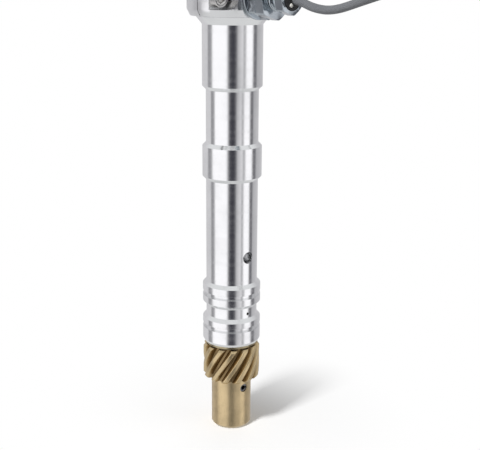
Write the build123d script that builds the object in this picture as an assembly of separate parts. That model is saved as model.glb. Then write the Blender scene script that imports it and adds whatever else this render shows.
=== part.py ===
from build123d import *
from math import cos, pi, radians, sin, sqrt, tan
import os

# Ignition distributor for a V8 engine, in millimetres. +Z is the shaft's axis, with z = 0 at the foot of the
# drive gear's hub. +X is the way the cable gland points.

# --- heights that the rest hangs on
foot_z = 52.0
seat_z = 232.5
spigot_h = 37.5
spigot_top_z = seat_z + spigot_h
neck_h = 32.0
neck_top_z = seat_z + neck_h
shoulder_h = 9.5
floor_z = neck_top_z + shoulder_h
bowl_depth = 26.0
rim_z = floor_z + bowl_depth

# --- shank: lands that fit the engine block, with necks between them
land_d = 32.3
neck_d = 28.35
foot_chamfer = (0.85, 1.6)
flare_h = 4.2
pilot_land_z = (foot_z + foot_chamfer[1], 66.2)
seal_land_z = (75.9, 85.9)
middle_land_z = (147.5, 164.0)
upper_land_z = (196.2, seat_z - flare_h)
ring_groove_w = 2.4
ring_groove_depth = 1.7
pilot_groove_z = 60.6
seal_groove_z = 79.7
seat_r = 19.6
spigot_r = 12.5
spigot_chamfer = 1.0
shank_bore_r = 7.2
vent_hole_r = 3.25
vent_hole_z = 103.2
oil_hole_r = 0.8
oil_hole_z = 70.6

# --- shaft and its bearings
shaft_r = 6.2
journal_clearance = 0.04
shaft_foot_z = 0.0
shaft_chamfer = 0.6
drive_slot_w = 3.2
drive_slot_depth = 5.0
bush_wall = 1.8
bush_len = 27.5
bearing_w = 5.0
bearing_bore_r = 6.0
bearing_outer_r = 10.5
bearing_pitch_r = (bearing_bore_r + bearing_outer_r) / 2
bearing_cover = 3.0
race_wall = 1.25
ball_r = 1.15
ball_play = 0.05
ball_count = 11
cage_wall = 0.5
cage_w = 3.6
circlip_w = 1.0
circlip_bite = 0.6
circlip_radial = 1.9
circlip_gap_deg = 16
circlip_eye_r = 1.2
circlip_eye_deg = 24
circlip_eye_inset = 0.4
bearing_z = spigot_top_z - bearing_cover - circlip_w - bearing_w
seal_seat_r = 9.5
seal_len = 5.0
seal_step = 2.0
seal_z = bearing_z - seal_step - seal_len
seal_lip_t = 1.2
seal_lip_share = (0.4, 0.55)

# --- drive gear, pinned to the shaft, with its thrust rings
thrust_gap = 0.1
thrust_bore_play = 0.1
shim_t = 0.7
shim_r = 12.4
washer_t = 1.4
washer_r = 14.5
gear_teeth = 13
gear_r = 16.0
gear_root_r = 12.6
gear_face = 20.0
gear_top_z = foot_z - 3 * thrust_gap - shim_t - washer_t
gear_z = (gear_top_z - gear_face, gear_top_z)
gear_helix_deg = 35.0
gear_end_bevel = 1.3
gear_tip_play = 0.05
tip_share = 0.30
root_share = 0.78
flank_swell = 0.06
hub_r = 11.3
hub_edge = 1.2
pin_r = 2.4
pin_bore_r = 1.3
pin_slot_w = 0.8
pin_inset = 0.6
pin_countersink = 0.5
pin_drop = 27.6
pin_z = foot_z - pin_drop

# --- bowl, whose split neck clamps on the spigot
neck_r = 24.0
bowl_chamfer = (1.8, 3.5)
seat_gap = 0.1
clamp_clearance = 0.05
bowl_r = 38.0
bowl_wall = 3.5
bowl_inner_r = bowl_r - bowl_wall
bowl_flare = (5.0, 2.6)
bowl_knee = (1.5, 2.4)
knee_share = 0.3
floor_edge = 1.0
rim_proud = 3.0
rim_r = bowl_r + rim_proud
rim_h = 8.0
slit_w = 1.5
slit_x = 1.1
slit_margin = 6.5
slit_top_z = neck_top_z - slit_margin
wire_way_w = 7.0
wire_way_r = 16.6
gasket_inset = (5.1, 2.9)
gasket_groove_r = (rim_r - gasket_inset[0], rim_r - gasket_inset[1])
gasket_depth = 1.3
gasket_play = 0.1

# --- clamp screw, M5 socket head, in a pocket beside the gland
clamp_r = 2.5
clamp_head_r = 4.25
clamp_head_h = 5.0
clamp_head_edge = 0.5
clamp_socket_af = 4.0
clamp_socket_depth = 2.6
clamp_room = 5.9
clamp_y = -(spigot_r + clamp_room)
clamp_h = 9.0
clamp_z = seat_z + clamp_h
clamp_seat_x = 8.4
clamp_len = 20.0
pocket_r = 5.4

# --- cable gland, M12 thread, pointing along +X
gland_h = 9.3
gland_z = seat_z + gland_h
flat_x = 20.0
flat_margin = (3.6, 8.0)
flat_z = (seat_z + flat_margin[0], neck_top_z - flat_margin[1])
gland_thread_r = 6.0
gland_washer_r = 12.0
gland_washer_t = 2.0
gland_washer_play = 0.3
gland_turn_deg = -13.0
nut_af = 19.0
lock_nut_h = 5.6
gland_hex_h = 6.4
gland_neck_len = 10.0
gland_bore_r = 3.4
clamp_nut_af = 14.0
clamp_nut_h = 5.4
clamp_nut_lip = 1.6
gland_face_x = flat_x + gland_washer_t + lock_nut_h + gland_hex_h + gland_neck_len + clamp_nut_lip
insert_r = 5.1
insert_len = 8.0
insert_proud = 0.1
cable_offset_y = 1.7
blank_offset = (-0.9, -2.75)
blank_r = 1.0
blank_proud = 0.6
hex_bevel = 1.1
hex_bevel_deg = 30

# --- inside the bowl
plate_t = 2.0
plate_play = 1.2
plate_r = (13.6, bowl_inner_r - plate_play)
plate_screw_inset = 5.0
plate_screw_r = bowl_inner_r - plate_screw_inset
plate_screw_angles = (55, 125, 235, 305)
small_head_r = 2.8
small_head_h = 1.8
small_head_edge = 0.4
small_head_room = 0.5
small_slot = (0.8, 0.7)
module_inset = (11.0, 1.9)
module_r = (bowl_inner_r - module_inset[0], bowl_inner_r - module_inset[1])
module_h = 10.0
module_angles = (90, 270)
trigger_inset = 14.5
trigger_r = bowl_inner_r - trigger_inset
vane_reach = 4.0
trigger_root_r = trigger_r - vane_reach
trigger_hub_r = 9.5
trigger_t = 3.0
trigger_rise = (2.6, 12.0)
trigger_z = (floor_z + trigger_rise[0], floor_z + trigger_rise[1])
vane_rise = 5.0
trigger_vane_z = floor_z + vane_rise
trigger_vanes = 8
vane_share = 0.5
grub_r = 1.25
grub_inset = 0.3
sensor_gap = 0.7
sensor_inset = 4.0
sensor_x = (trigger_r + sensor_gap, bowl_inner_r - sensor_inset)
sensor_w = 12.0
sensor_h = 9.0
sensor_edge = 1.2
sensor_tongue = 0.2
sensor_face_gap = 0.4

# --- cap
cap_flange_h = 6.0
cap_setback = 0.5
cap_wall = 3.0
cap_rim_step = 2.0
cap_draft = 1.2
cap_edge = 2.0
cap_h = 18.0
cap_top_z = rim_z + cap_h
cap_taper = 4.0
cap_top_r = rim_r - cap_taper
cap_shoulder_h = 4.5
cap_roof_t = 4.5
guide_wall = 2.0
guide_overlap = 4.0
post_count = 8
post_inset = 5.5
post_circle_r = cap_top_r - post_inset
post_r = (6.2, 5.4)
post_h = 16.0
post_top_z = cap_top_z + post_h
stud_r = 3.2
stud_shank_r = 2.8
stud_inner_h = 1.5
stud_inner_z = rim_z + stud_inner_h
stud_proud = 8.0
stud_top_z = post_top_z + stud_proud
stud_head_h = 3.6
stud_groove_r = 2.5
stud_groove_w = 2.2
stud_groove_slope = 0.6
stud_point = 1.0
centre_post_r = (8.0, 6.6)
brush_r = 2.4
brush_edge = 0.5
brush_guide_play = 0.1
brush_len = 8.0
brush_gap = 0.1
spring_space = 6.0
spring_play = 0.05
spring_wire_r = 0.3
spring_r = 1.7
spring_turns = 4
cap_screw_r = 2.0
cap_screw_play = 0.1
cap_screw_len = 15.0
cap_screw_head_r = 3.7
cap_screw_head_h = 2.8
cap_screw_head_edge = 0.7
cap_screw_slot = (1.1, 1.3)
cap_screw_slot_deg = 20
cap_screw_washer_r = 4.6
cap_screw_washer_t = 0.9
cap_screw_washer_gap = 0.4

# --- the lugs that the cap is screwed to
lug_angles = (30, 150, 270)
lug_centre_r = rim_r - cap_setback + cap_screw_washer_r + cap_screw_washer_gap
lug_r = 5.5
lug_h = 10.0
lug_root = (1.5, 0.5)
lug_bite = 1.0

# --- rotor
rotor_gap = 1.5
rotor_proud = 5.0
rotor_z = (trigger_z[1] + rotor_gap, rim_z + rotor_proud)
rotor_hub_r = 9.0
rotor_seat_r = 5.0
rotor_seat_drop = 0.5
rotor_flat_depth = 1.2
rotor_fit = 0.05
rotor_roof = 5.0
shaft_top_z = rotor_z[1] - rotor_roof
spark_gap = 1.3
blade_t = 1.4
blade_w = 7.0
blade_tip_r = post_circle_r - stud_shank_r - spark_gap
blade_tail = 8.0
blade_proud = 1.9
rotor_arm_r = blade_tip_r - blade_proud
rotor_arm_w = 15.0
rotor_arm_t = 4.2
rotor_web = (0.8, 3.0)
rotor_arm_proud = 1.0
rotor_disc_r = rotor_arm_r - rotor_arm_proud
rotor_disc_t = 2.6
rotor_disc_drop = 7.5
rotor_disc_z = rim_z - rotor_disc_drop
rotor_screw_r = 1.6
rotor_screw_depth = 9.0

# --- lead: cable from the gland, wound on the bowl's neck
lead_d = 4.2
lead_route = [
    (39.0, 1.7, 241.8),
    (47.5, 1.7, 241.8),
    (58.5, 1.9, 238.0),
    (70.0, 3.8, 237.2),
    (83.0, 10.0, 242.3),
    (93.0, 21.0, 247.2),
    (97.0, 36.0, 250.8),
    (93.0, 52.0, 253.0),
    (81.0, 64.0, 254.2),
    (64.0, 70.5, 254.8),
    (45.0, 72.0, 255.2),
    (25.0, 68.0, 255.4),
    (6.0, 59.0, 255.5),
    (-10.0, 46.0, 255.5),
    (-21.5, 30.0, 255.5),
    (-27.5, 13.0, 255.5),
    (-28.3, 0.5, 255.5),
]
tail_route = [
    (-27.9, -4.9, 259.8),
    (-25.8, -17.5, 259.4),
    (-21.6, -30.5, 258.2),
    (-15.4, -42.5, 256.6),
]
arc_share = 0.45
coil_r = 28.3
coil_z = (253.3, 261.9)
coil_width = 4.5
coil_edge = 1.6
tie_angles = (166, 202)
tie_w = 2.6
tie_t = 1.1
tie_gap = 0.25
tie_room = 1.7
tie_head = (4.4, 5.0, 4.2)
tie_head_bite = 0.2

# --- plug on the lead's end
plug_len = 27.0
plug_w = 17.0
plug_h = 11.0
plug_edge = 2.0
plug_neck_len = 8.0
plug_neck_r = 4.2
plug_seal_len = 4.0
plug_seal_r = 3.4
plug_latch = (12.0, 6.0, 1.6)
plug_pins = 3
plug_pin_pitch = 4.6
plug_pin_w = 1.8
plug_pin_len = 9.0
plug_pin_play = 0.2
plug_pin_recess = 1.5
plug_latch_bite = 0.1
latch_share = 0.6


def ring(inner_r, outer_r, low_z, high_z):
    """A plain ring about the shaft's axis."""
    body = Pos(0, 0, (low_z + high_z) / 2) * Cylinder(outer_r, high_z - low_z)
    if inner_r > 0:
        body -= Pos(0, 0, (low_z + high_z) / 2) * Cylinder(inner_r, high_z - low_z + 1)
    return body


def disc(radius, low_z, high_z):
    return ring(0, radius, low_z, high_z)


def turned(points):
    """The solid turned from a closed outline of (r, z) points."""
    outline = make_face(Plane.XZ * Polyline(*points, close=True))
    return revolve(outline, Axis.Z)


def at_angle(angle, radius, z=0.0):
    """The place at that angle and radius from the shaft's axis."""
    return Pos(radius * cos(radians(angle)), radius * sin(radians(angle)), z)


def along_x(x, y, z):
    """The plane across +X at a point, with its own x along +Y and its own y along +Z."""
    return Plane(origin=(x, y, z), x_dir=(0, 1, 0), z_dir=(1, 0, 0))


def x_rod(radius, low_x, high_x, y, z):
    return along_x(low_x, y, z) * extrude(Circle(radius), high_x - low_x)


def x_hexagon(across_flats, low_x, high_x, z, turn):
    """A hexagon along +X whose corners are bevelled at both ends."""
    length = high_x - low_x
    corner_r = across_flats / sqrt(3)
    flat = corner_r - hex_bevel
    drop = hex_bevel * tan(radians(hex_bevel_deg))
    barrel = turned(
        [(0, 0), (flat, 0), (corner_r, drop), (corner_r, length - drop), (flat, length), (0, length)]
    )
    prism = extrude(RegularPolygon(across_flats / 2, 6, major_radius=False, rotation=turn), length)
    return along_x(low_x, 0, z) * (prism & barrel)


def write(node, shape):
    export_step(shape, f"parts/{node}.step")


def group(shapes):
    return Compound(children=list(shapes))


# ---------------------------------------------------------------- shank
def land(z, foot=False):
    """The outline of one land from bottom to top, with 45 degree chamfers down to the necks."""
    step = (land_d - neck_d) / 2
    r = land_d / 2
    low = [(neck_d / 2, z[0] - step), (r, z[0])]
    if foot:
        low = [(r - foot_chamfer[0], foot_z), (r, z[0])]
    return low + [(r, z[1]), (neck_d / 2, z[1] + step)]


def make_shank_housing():
    r = land_d / 2
    outline = [(shank_bore_r, foot_z)]
    outline += land(pilot_land_z, foot=True)
    outline += land(seal_land_z)
    outline += land(middle_land_z)
    outline += [(neck_d / 2, upper_land_z[0] - (land_d - neck_d) / 2), (r, upper_land_z[0])]
    outline += [(r, upper_land_z[1]), (seat_r, seat_z), (spigot_r, seat_z)]
    outline += [(spigot_r, spigot_top_z - spigot_chamfer), (spigot_r - spigot_chamfer, spigot_top_z)]
    outline += [(shank_bore_r, spigot_top_z)]
    body = turned(outline)
    for z in (pilot_groove_z, seal_groove_z):
        body -= ring(r - ring_groove_depth, r + 1, z, z + ring_groove_w)
    body -= disc(shaft_r + bush_wall, foot_z - 1, foot_z + bush_len)
    body -= disc(seal_seat_r, seal_z, spigot_top_z + 1)
    body -= disc(bearing_outer_r, bearing_z, spigot_top_z + 1)
    circlip_z = bearing_z + bearing_w
    body -= disc(bearing_outer_r + circlip_bite, circlip_z, circlip_z + circlip_w)
    body -= x_rod(vent_hole_r, 0, land_d, 0, vent_hole_z)
    body -= x_rod(oil_hole_r, 0, land_d, 0, oil_hole_z)
    return body


def make_lower_bush():
    return ring(shaft_r + journal_clearance, shaft_r + bush_wall, foot_z, foot_z + bush_len)


def make_shaft_seal():
    """A lip seal: a cased ring whose lip leans in towards the shaft."""
    lip_r = shaft_r + journal_clearance
    lip_low, lip_high = seal_lip_share
    return turned(
        [
            (lip_r + seal_lip_t, seal_z),
            (seal_seat_r, seal_z),
            (seal_seat_r, seal_z + seal_len),
            (lip_r + seal_lip_t, seal_z + seal_len),
            (lip_r, seal_z + seal_len * lip_high),
            (lip_r, seal_z + seal_len * lip_low),
        ]
    )


def ball_track():
    track_r = ball_r + ball_play
    return Pos(0, 0, bearing_z + bearing_w / 2) * Torus(bearing_pitch_r, track_r)


def make_bearing_outer_race():
    return ring(bearing_outer_r - race_wall, bearing_outer_r, bearing_z, bearing_z + bearing_w) - ball_track()


def make_bearing_inner_race():
    return ring(bearing_bore_r, bearing_bore_r + race_wall, bearing_z, bearing_z + bearing_w) - ball_track()


def ball_places():
    middle = bearing_z + bearing_w / 2
    return [at_angle(360 * i / ball_count, bearing_pitch_r, middle) for i in range(ball_count)]


def make_bearing_balls():
    return group(place * Sphere(ball_r) for place in ball_places())


def make_bearing_cage():
    middle = bearing_z + bearing_w / 2
    low, high = middle - cage_w / 2, middle + cage_w / 2
    cage = ring(bearing_pitch_r - cage_wall / 2, bearing_pitch_r + cage_wall / 2, low, high)
    for i in range(ball_count):
        pocket = x_rod(ball_r + ball_play, 0, bearing_outer_r, 0, middle)
        cage -= Rot(0, 0, 360 * i / ball_count) * pocket
    return cage


def make_bearing_circlip():
    """An open ring in the groove above the bearing, with an eye on each end."""
    low = bearing_z + bearing_w
    outer_r = bearing_outer_r + circlip_bite
    clip = ring(outer_r - circlip_radial, outer_r, low, low + circlip_w)
    eye_r = outer_r - circlip_radial - circlip_eye_inset
    for side in (-1, 1):
        place = at_angle(90 + side * circlip_eye_deg, eye_r, low + circlip_w / 2)
        clip += place * Cylinder(circlip_eye_r, circlip_w)
    opening = outer_r * sin(radians(circlip_gap_deg))
    clip -= Pos(0, outer_r, low) * Box(2 * opening, 2 * outer_r, 4 * circlip_w)
    return clip


# ---------------------------------------------------------------- shaft group
def make_shaft():
    rotor_seat_z = rotor_z[0] - rotor_seat_drop
    body = disc(shaft_r, shaft_foot_z, bearing_z)
    body += disc(bearing_bore_r, bearing_z, rotor_seat_z)
    body += disc(rotor_seat_r, rotor_seat_z, shaft_top_z)
    body = chamfer(body.edges().sort_by(Axis.Z)[-1], shaft_chamfer)
    flat_x0 = rotor_seat_r - rotor_flat_depth
    body -= Pos(flat_x0 + shaft_r, 0, (rotor_seat_z + shaft_top_z) / 2 + 0.5) * Box(
        2 * shaft_r, 3 * shaft_r, shaft_top_z - rotor_seat_z + 1
    )
    body -= Pos(0, 0, shaft_foot_z + drive_slot_depth / 2 - 1) * Box(
        4 * shaft_r, drive_slot_w, drive_slot_depth + 2
    )
    body -= disc(rotor_screw_r, shaft_top_z - rotor_screw_depth, shaft_top_z + 1)
    body -= x_rod(pin_r, -2 * shaft_r, 2 * shaft_r, 0, pin_z)
    return body


def tooth_section():
    """The gear's cross section: each tooth a tip arc with two rounded flanks."""
    pitch = 360 / gear_teeth
    middle_r = (gear_r + gear_root_r) / 2
    middle_share = (tip_share + root_share) / 2 + flank_swell

    def at(radius, angle):
        return (radius * cos(radians(angle)), radius * sin(radians(angle)))

    tip, root, middle = (share * pitch / 2 for share in (tip_share, root_share, middle_share))
    lines = []
    for i in range(gear_teeth):
        centre = i * pitch
        rise = (at(gear_root_r, centre - root), at(middle_r, centre - middle), at(gear_r, centre - tip))
        crest = (at(gear_r, centre - tip), at(gear_r, centre), at(gear_r, centre + tip))
        fall = (at(gear_r, centre + tip), at(middle_r, centre + middle), at(gear_root_r, centre + root))
        valley = (at(gear_root_r, centre + turn) for turn in (root, pitch / 2, pitch - root))
        lines += [ThreePointArc(*arc) for arc in (rise, crest, fall, valley)]
    return make_face(lines)


def make_drive_gear():
    """Thirteen right-hand crossed-helical teeth above a long hub, bored and cross-drilled for the shaft."""
    face = gear_face
    lead_length = 2 * pi * gear_r / tan(radians(gear_helix_deg))
    twist = 360 * face / lead_length
    teeth = Solid.extrude_linear_with_rotation(
        section=tooth_section().face(), center=(0, 0, 0), normal=(0, 0, face), angle=twist
    )
    barrel = turned(
        [
            (0, 0),
            (gear_r - gear_end_bevel, 0),
            (gear_r + gear_tip_play, gear_end_bevel),
            (gear_r + gear_tip_play, face - gear_end_bevel),
            (gear_r - gear_end_bevel, face),
            (0, face),
        ]
    )
    gear = Pos(0, 0, gear_z[0]) * (teeth & barrel)
    hub = turned(
        [(0, 0), (hub_r - hub_edge, 0), (hub_r, hub_edge), (hub_r, gear_z[0]), (0, gear_z[0])]
    )
    gear = gear + hub
    gear -= disc(shaft_r, -1, gear_z[1] + 1)
    gear -= x_rod(pin_r, -2 * hub_r, 2 * hub_r, 0, pin_z)
    for side in (-1, 1):
        depth = hub_r - pin_countersink if side > 0 else -hub_r - 1
        gear -= x_rod(pin_r + pin_countersink, depth, depth + pin_countersink + 1, 0, pin_z)
    return gear


def make_roll_pin():
    """A rolled spring pin: a tube with a slot down its side."""
    length = hub_r - pin_inset
    pin = x_rod(pin_r, -length, length, 0, pin_z) - x_rod(pin_bore_r, -hub_r - 1, hub_r + 1, 0, pin_z)
    return pin - Pos(0, pin_r, pin_z) * Box(3 * hub_r, 2 * pin_r, pin_slot_w)


def shim_z():
    low = gear_z[1] + thrust_gap
    return low, low + shim_t


def thrust_washer_z():
    low = shim_z()[1] + thrust_gap
    return low, foot_z - thrust_gap


def make_thrust_shim():
    return ring(shaft_r + thrust_bore_play, shim_r, *shim_z())


def make_thrust_washer():
    return ring(shaft_r + thrust_bore_play, washer_r, *thrust_washer_z())


def make_trigger_wheel():
    """A hub with a wheel of eight vanes, one for each cylinder."""
    wheel = disc(trigger_r, trigger_vane_z, trigger_vane_z + trigger_t)
    pitch = 360 / trigger_vanes
    gap_deg = pitch * (1 - vane_share)
    width = 2 * trigger_r * sin(radians(gap_deg / 2))
    for i in range(trigger_vanes):
        gap = Pos((trigger_root_r + trigger_r + 2) / 2, 0, trigger_vane_z + trigger_t / 2) * Box(
            trigger_r + 2 - trigger_root_r, width, trigger_t + 1
        )
        wheel -= Rot(0, 0, (i + 0.5) * pitch) * gap
    wheel += disc(trigger_hub_r, *trigger_z)
    wheel -= disc(bearing_bore_r, trigger_z[0] - 1, trigger_z[1] + 1)
    wheel -= x_rod(grub_r, 0, trigger_hub_r + 1, 0, grub_z())
    return wheel


def grub_z():
    return (trigger_vane_z + trigger_t + trigger_z[1]) / 2


def make_trigger_screw():
    return x_rod(grub_r, bearing_bore_r, trigger_hub_r - grub_inset, 0, grub_z())


def make_rotor():
    """A moulded rotor: hub, round skirt and a stiffened arm that carries the blade."""
    low, high = rotor_z
    body = disc(rotor_hub_r, low, high)
    body += disc(rotor_disc_r, rotor_disc_z, rotor_disc_z + rotor_disc_t)
    arm_low = high - rotor_arm_t
    arm = Pos(rotor_arm_r / 2 - blade_tail / 2, 0, high - rotor_arm_t / 2) * Box(
        rotor_arm_r + blade_tail, rotor_arm_w, rotor_arm_t
    )
    body += arm & disc(rotor_arm_r, arm_low - 1, high + 1)
    web_low = rotor_disc_z + rotor_disc_t
    web_len, web_w = rotor_arm_r * rotor_web[0], rotor_web[1]
    body += Pos(web_len / 2, 0, (web_low + arm_low) / 2) * Box(web_len, web_w, arm_low - web_low)
    socket = disc(rotor_seat_r + rotor_fit, low - 1, shaft_top_z + rotor_fit)
    flat_x0 = rotor_seat_r + rotor_fit - rotor_flat_depth
    socket -= Pos(flat_x0 + shaft_r, 0, shaft_top_z / 2) * Box(2 * shaft_r, 3 * shaft_r, 2 * shaft_top_z)
    body -= socket
    body -= disc(rotor_screw_r, shaft_top_z - 1, high + 1)
    return body


def make_rotor_blade():
    high = rotor_z[1]
    blade = Pos((blade_tip_r - blade_tail) / 2, 0, high + blade_t / 2) * Box(
        blade_tip_r + blade_tail, blade_w, blade_t
    )
    blade = blade & disc(blade_tip_r, high - 1, high + blade_t + 1)
    return blade


# ---------------------------------------------------------------- bowl group
def lugs(low_z, high_z):
    """The round lugs for the cap's screws, each with the bridge that roots it in the wall."""
    middle = (low_z + high_z) / 2
    start, end = rim_r - lug_root[0], lug_centre_r + lug_root[1]
    bridge = Pos((start + end) / 2, 0, middle) * Box(end - start, 2 * lug_r, high_z - low_z)
    places = [(angle, at_angle(angle, lug_centre_r, middle)) for angle in lug_angles]
    return [place * Cylinder(lug_r, high_z - low_z) + Rot(0, 0, angle) * bridge for angle, place in places]


def make_bowl():
    low = seat_z + seat_gap
    chamfer_r, chamfer_h = bowl_chamfer
    bore = spigot_r + clamp_clearance
    cup_z = floor_z - bowl_wall * knee_share
    inner = bowl_inner_r
    outline = [
        (bore, low),
        (neck_r - chamfer_r, low),
        (neck_r, low + chamfer_h),
        (neck_r, neck_top_z),
        (neck_r + bowl_flare[0], neck_top_z + bowl_flare[1]),
        (bowl_r - bowl_knee[0], cup_z - bowl_knee[1]),
        (bowl_r, cup_z),
        (bowl_r, rim_z - rim_h - (rim_r - bowl_r)),
        (rim_r, rim_z - rim_h),
        (rim_r, rim_z),
        (inner, rim_z),
        (inner, floor_z + floor_edge),
        (inner - floor_edge, floor_z),
        (bore, floor_z),
    ]
    body = turned(outline)
    for lug in lugs(rim_z - lug_h, rim_z):
        body += lug - disc(inner + lug_bite, low, rim_z + 1)
    for angle in lug_angles:
        body -= at_angle(angle, lug_centre_r, rim_z - lug_h / 2 + 1) * (
            Cylinder(cap_screw_r + cap_screw_play, lug_h)
        )
    body -= ring(*gasket_groove_r, rim_z - gasket_depth, rim_z + 1)
    # the clamp: slit, screw pocket and screw hole
    slit_h = slit_top_z - low
    body -= Pos(slit_x, -neck_r, low + slit_h / 2 - 1) * Box(slit_w, 2 * (neck_r - bore) + 3, slit_h + 2)
    pocket = x_rod(pocket_r, clamp_seat_x, neck_r + 1, clamp_y, clamp_z)
    pocket += Pos((clamp_seat_x + neck_r + 1) / 2, clamp_y - pocket_r, clamp_z) * Box(
        neck_r + 1 - clamp_seat_x, 2 * pocket_r, 2 * pocket_r
    )
    body -= pocket
    body -= x_rod(clamp_r + clamp_clearance, slit_x, clamp_seat_x + 1, clamp_y, clamp_z)
    body -= x_rod(clamp_r, clamp_seat_x - clamp_len - 1, slit_x, clamp_y, clamp_z)
    # the gland's seat, thread and wire way
    body -= Pos(flat_x + neck_r / 2, 0, sum(flat_z) / 2) * Box(neck_r, 2 * neck_r, flat_z[1] - flat_z[0])
    body -= x_rod(gland_washer_r + gland_washer_play, flat_x, neck_r + 1, 0, gland_z)
    body -= x_rod(gland_thread_r, 0, flat_x + 1, 0, gland_z)
    way_low = gland_z - wire_way_w / 2
    body -= Pos(wire_way_r / 2, 0, (way_low + floor_z + 1) / 2) * Box(
        wire_way_r, wire_way_w, floor_z + 1 - way_low
    )
    return body


def make_clamp_screw():
    head = x_rod(clamp_head_r, clamp_seat_x, clamp_seat_x + clamp_head_h, clamp_y, clamp_z)
    head = chamfer(head.edges().sort_by(Axis.X)[-1], clamp_head_edge)
    shank = x_rod(clamp_r, clamp_seat_x - clamp_len, clamp_seat_x, clamp_y, clamp_z)
    socket_x = clamp_seat_x + clamp_head_h - clamp_socket_depth
    socket = along_x(socket_x, clamp_y, clamp_z) * extrude(
        RegularPolygon(clamp_socket_af / 2, 6, major_radius=False), clamp_socket_depth + 1
    )
    return head + shank - socket


def gland_stack():
    """Where each piece on the gland begins and ends along +X."""
    washer = (flat_x, flat_x + gland_washer_t)
    lock_nut = (washer[1], washer[1] + lock_nut_h)
    hexagon = (lock_nut[1], lock_nut[1] + gland_hex_h)
    clamp_nut = (gland_face_x - clamp_nut_h, gland_face_x)
    return washer, lock_nut, hexagon, clamp_nut


def insert_x():
    return gland_face_x - insert_len, gland_face_x + insert_proud


def make_gland_washer():
    low, high = gland_stack()[0]
    return x_rod(gland_washer_r, low, high, 0, gland_z) - x_rod(gland_thread_r, low - 1, high + 1, 0, gland_z)


def make_gland_lock_nut():
    low, high = gland_stack()[1]
    nut = x_hexagon(nut_af, low, high, gland_z, gland_turn_deg)
    return nut - x_rod(gland_thread_r, low - 1, high + 1, 0, gland_z)


def make_gland_body():
    low, high = gland_stack()[2]
    body = x_rod(gland_thread_r, wire_way_r, low, 0, gland_z)
    body += x_hexagon(nut_af, low, high, gland_z, gland_turn_deg)
    body += x_rod(gland_thread_r, high, high + gland_neck_len, 0, gland_z)
    body -= x_rod(gland_bore_r, wire_way_r - 1, gland_face_x, 0, gland_z)
    body -= x_rod(insert_r, insert_x()[0], gland_face_x + 1, 0, gland_z)
    return body


def make_gland_clamp_nut():
    low, high = gland_stack()[3]
    thread_end = gland_stack()[2][1] + gland_neck_len
    nut = x_hexagon(clamp_nut_af, low, high, gland_z, gland_turn_deg)
    nut -= x_rod(gland_thread_r, low - 1, thread_end, 0, gland_z)
    return nut - x_rod(insert_r, low, high + 1, 0, gland_z)


def lead_entry():
    return cable_offset_y, lead_route[0][2]


def make_gland_seal():
    low, high = insert_x()
    y, z = lead_entry()
    seal = x_rod(insert_r, low, high, 0, gland_z) - x_rod(lead_d / 2, low - 1, high + 1, y, z)
    return seal - x_rod(blank_r, low - 1, high + 1, blank_offset[0], gland_z + blank_offset[1])


def make_blanking_pin():
    low, high = insert_x()
    pin = x_rod(blank_r, low, high + blank_proud, blank_offset[0], gland_z + blank_offset[1])
    return fillet(pin.edges().sort_by(Axis.X)[-1], blank_r * 0.6)


def plate_places():
    return [at_angle(angle, plate_screw_r) for angle in plate_screw_angles]


def make_sensor_plate():
    plate = ring(*plate_r, floor_z, floor_z + plate_t)
    way = Pos(wire_way_r / 2, 0, floor_z) * Box(wire_way_r + 2, wire_way_w, 4 * plate_t)
    return plate - way


def make_hall_sensor():
    """A forked block: the wheel's vanes pass in front of its sensing face."""
    low, high = sensor_x
    base = floor_z + plate_t
    block = Pos((low + high) / 2, 0, base + sensor_h / 2) * Box(high - low, sensor_w, sensor_h)
    block = fillet(block.edges().filter_by(Axis.Z), sensor_edge)
    tongue = Box(sensor_tongue, sensor_w / 2, sensor_h / 2)
    block += Pos(low - sensor_tongue / 2, 0, base + sensor_h / 2) * tongue
    return block & ring(trigger_r + sensor_face_gap, bowl_r, base, base + sensor_h)


def make_ignition_module():
    """A potted block that follows the bowl's wall, with its rounded ends at the two module angles."""
    low = floor_z + plate_t
    inner, outer = module_r
    middle_r = (inner + outer) / 2
    block = ring(inner, outer, low, low + module_h)
    keep = Pos(-bowl_r, 0, low) * Box(2 * bowl_r, 4 * bowl_r, 4 * module_h)
    block = block & keep
    for angle in module_angles:
        block += at_angle(angle, middle_r, low + module_h / 2) * Cylinder((outer - inner) / 2, module_h)
    for place in plate_places():
        block -= place * disc(small_head_r + small_head_room, low - 1, low + module_h + 1)
    return block


def make_plate_screws():
    low = floor_z + plate_t
    screws = []
    for place in plate_places():
        head = disc(small_head_r, low, low + small_head_h)
        head = chamfer(head.edges().sort_by(Axis.Z)[-1], small_head_edge)
        slot_w, slot_depth = small_slot
        slot = Pos(0, 0, low + small_head_h) * Box(3 * small_head_r, slot_w, 2 * slot_depth)
        screws.append(place * (head - slot))
    return group(screws)


def make_bowl_gasket():
    inner, outer = gasket_groove_r
    return ring(inner + gasket_play, outer - gasket_play, rim_z - gasket_depth, rim_z)


# ---------------------------------------------------------------- cap group
def cap_low_z():
    return rim_z + seat_gap


def post_places():
    return [at_angle(360 * i / post_count, post_circle_r) for i in range(post_count)]


def tower(base_r, tip_r):
    low = cap_top_z - 1
    return turned([(0, low), (base_r, low), (base_r, cap_top_z), (tip_r, post_top_z), (0, post_top_z)])


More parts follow.
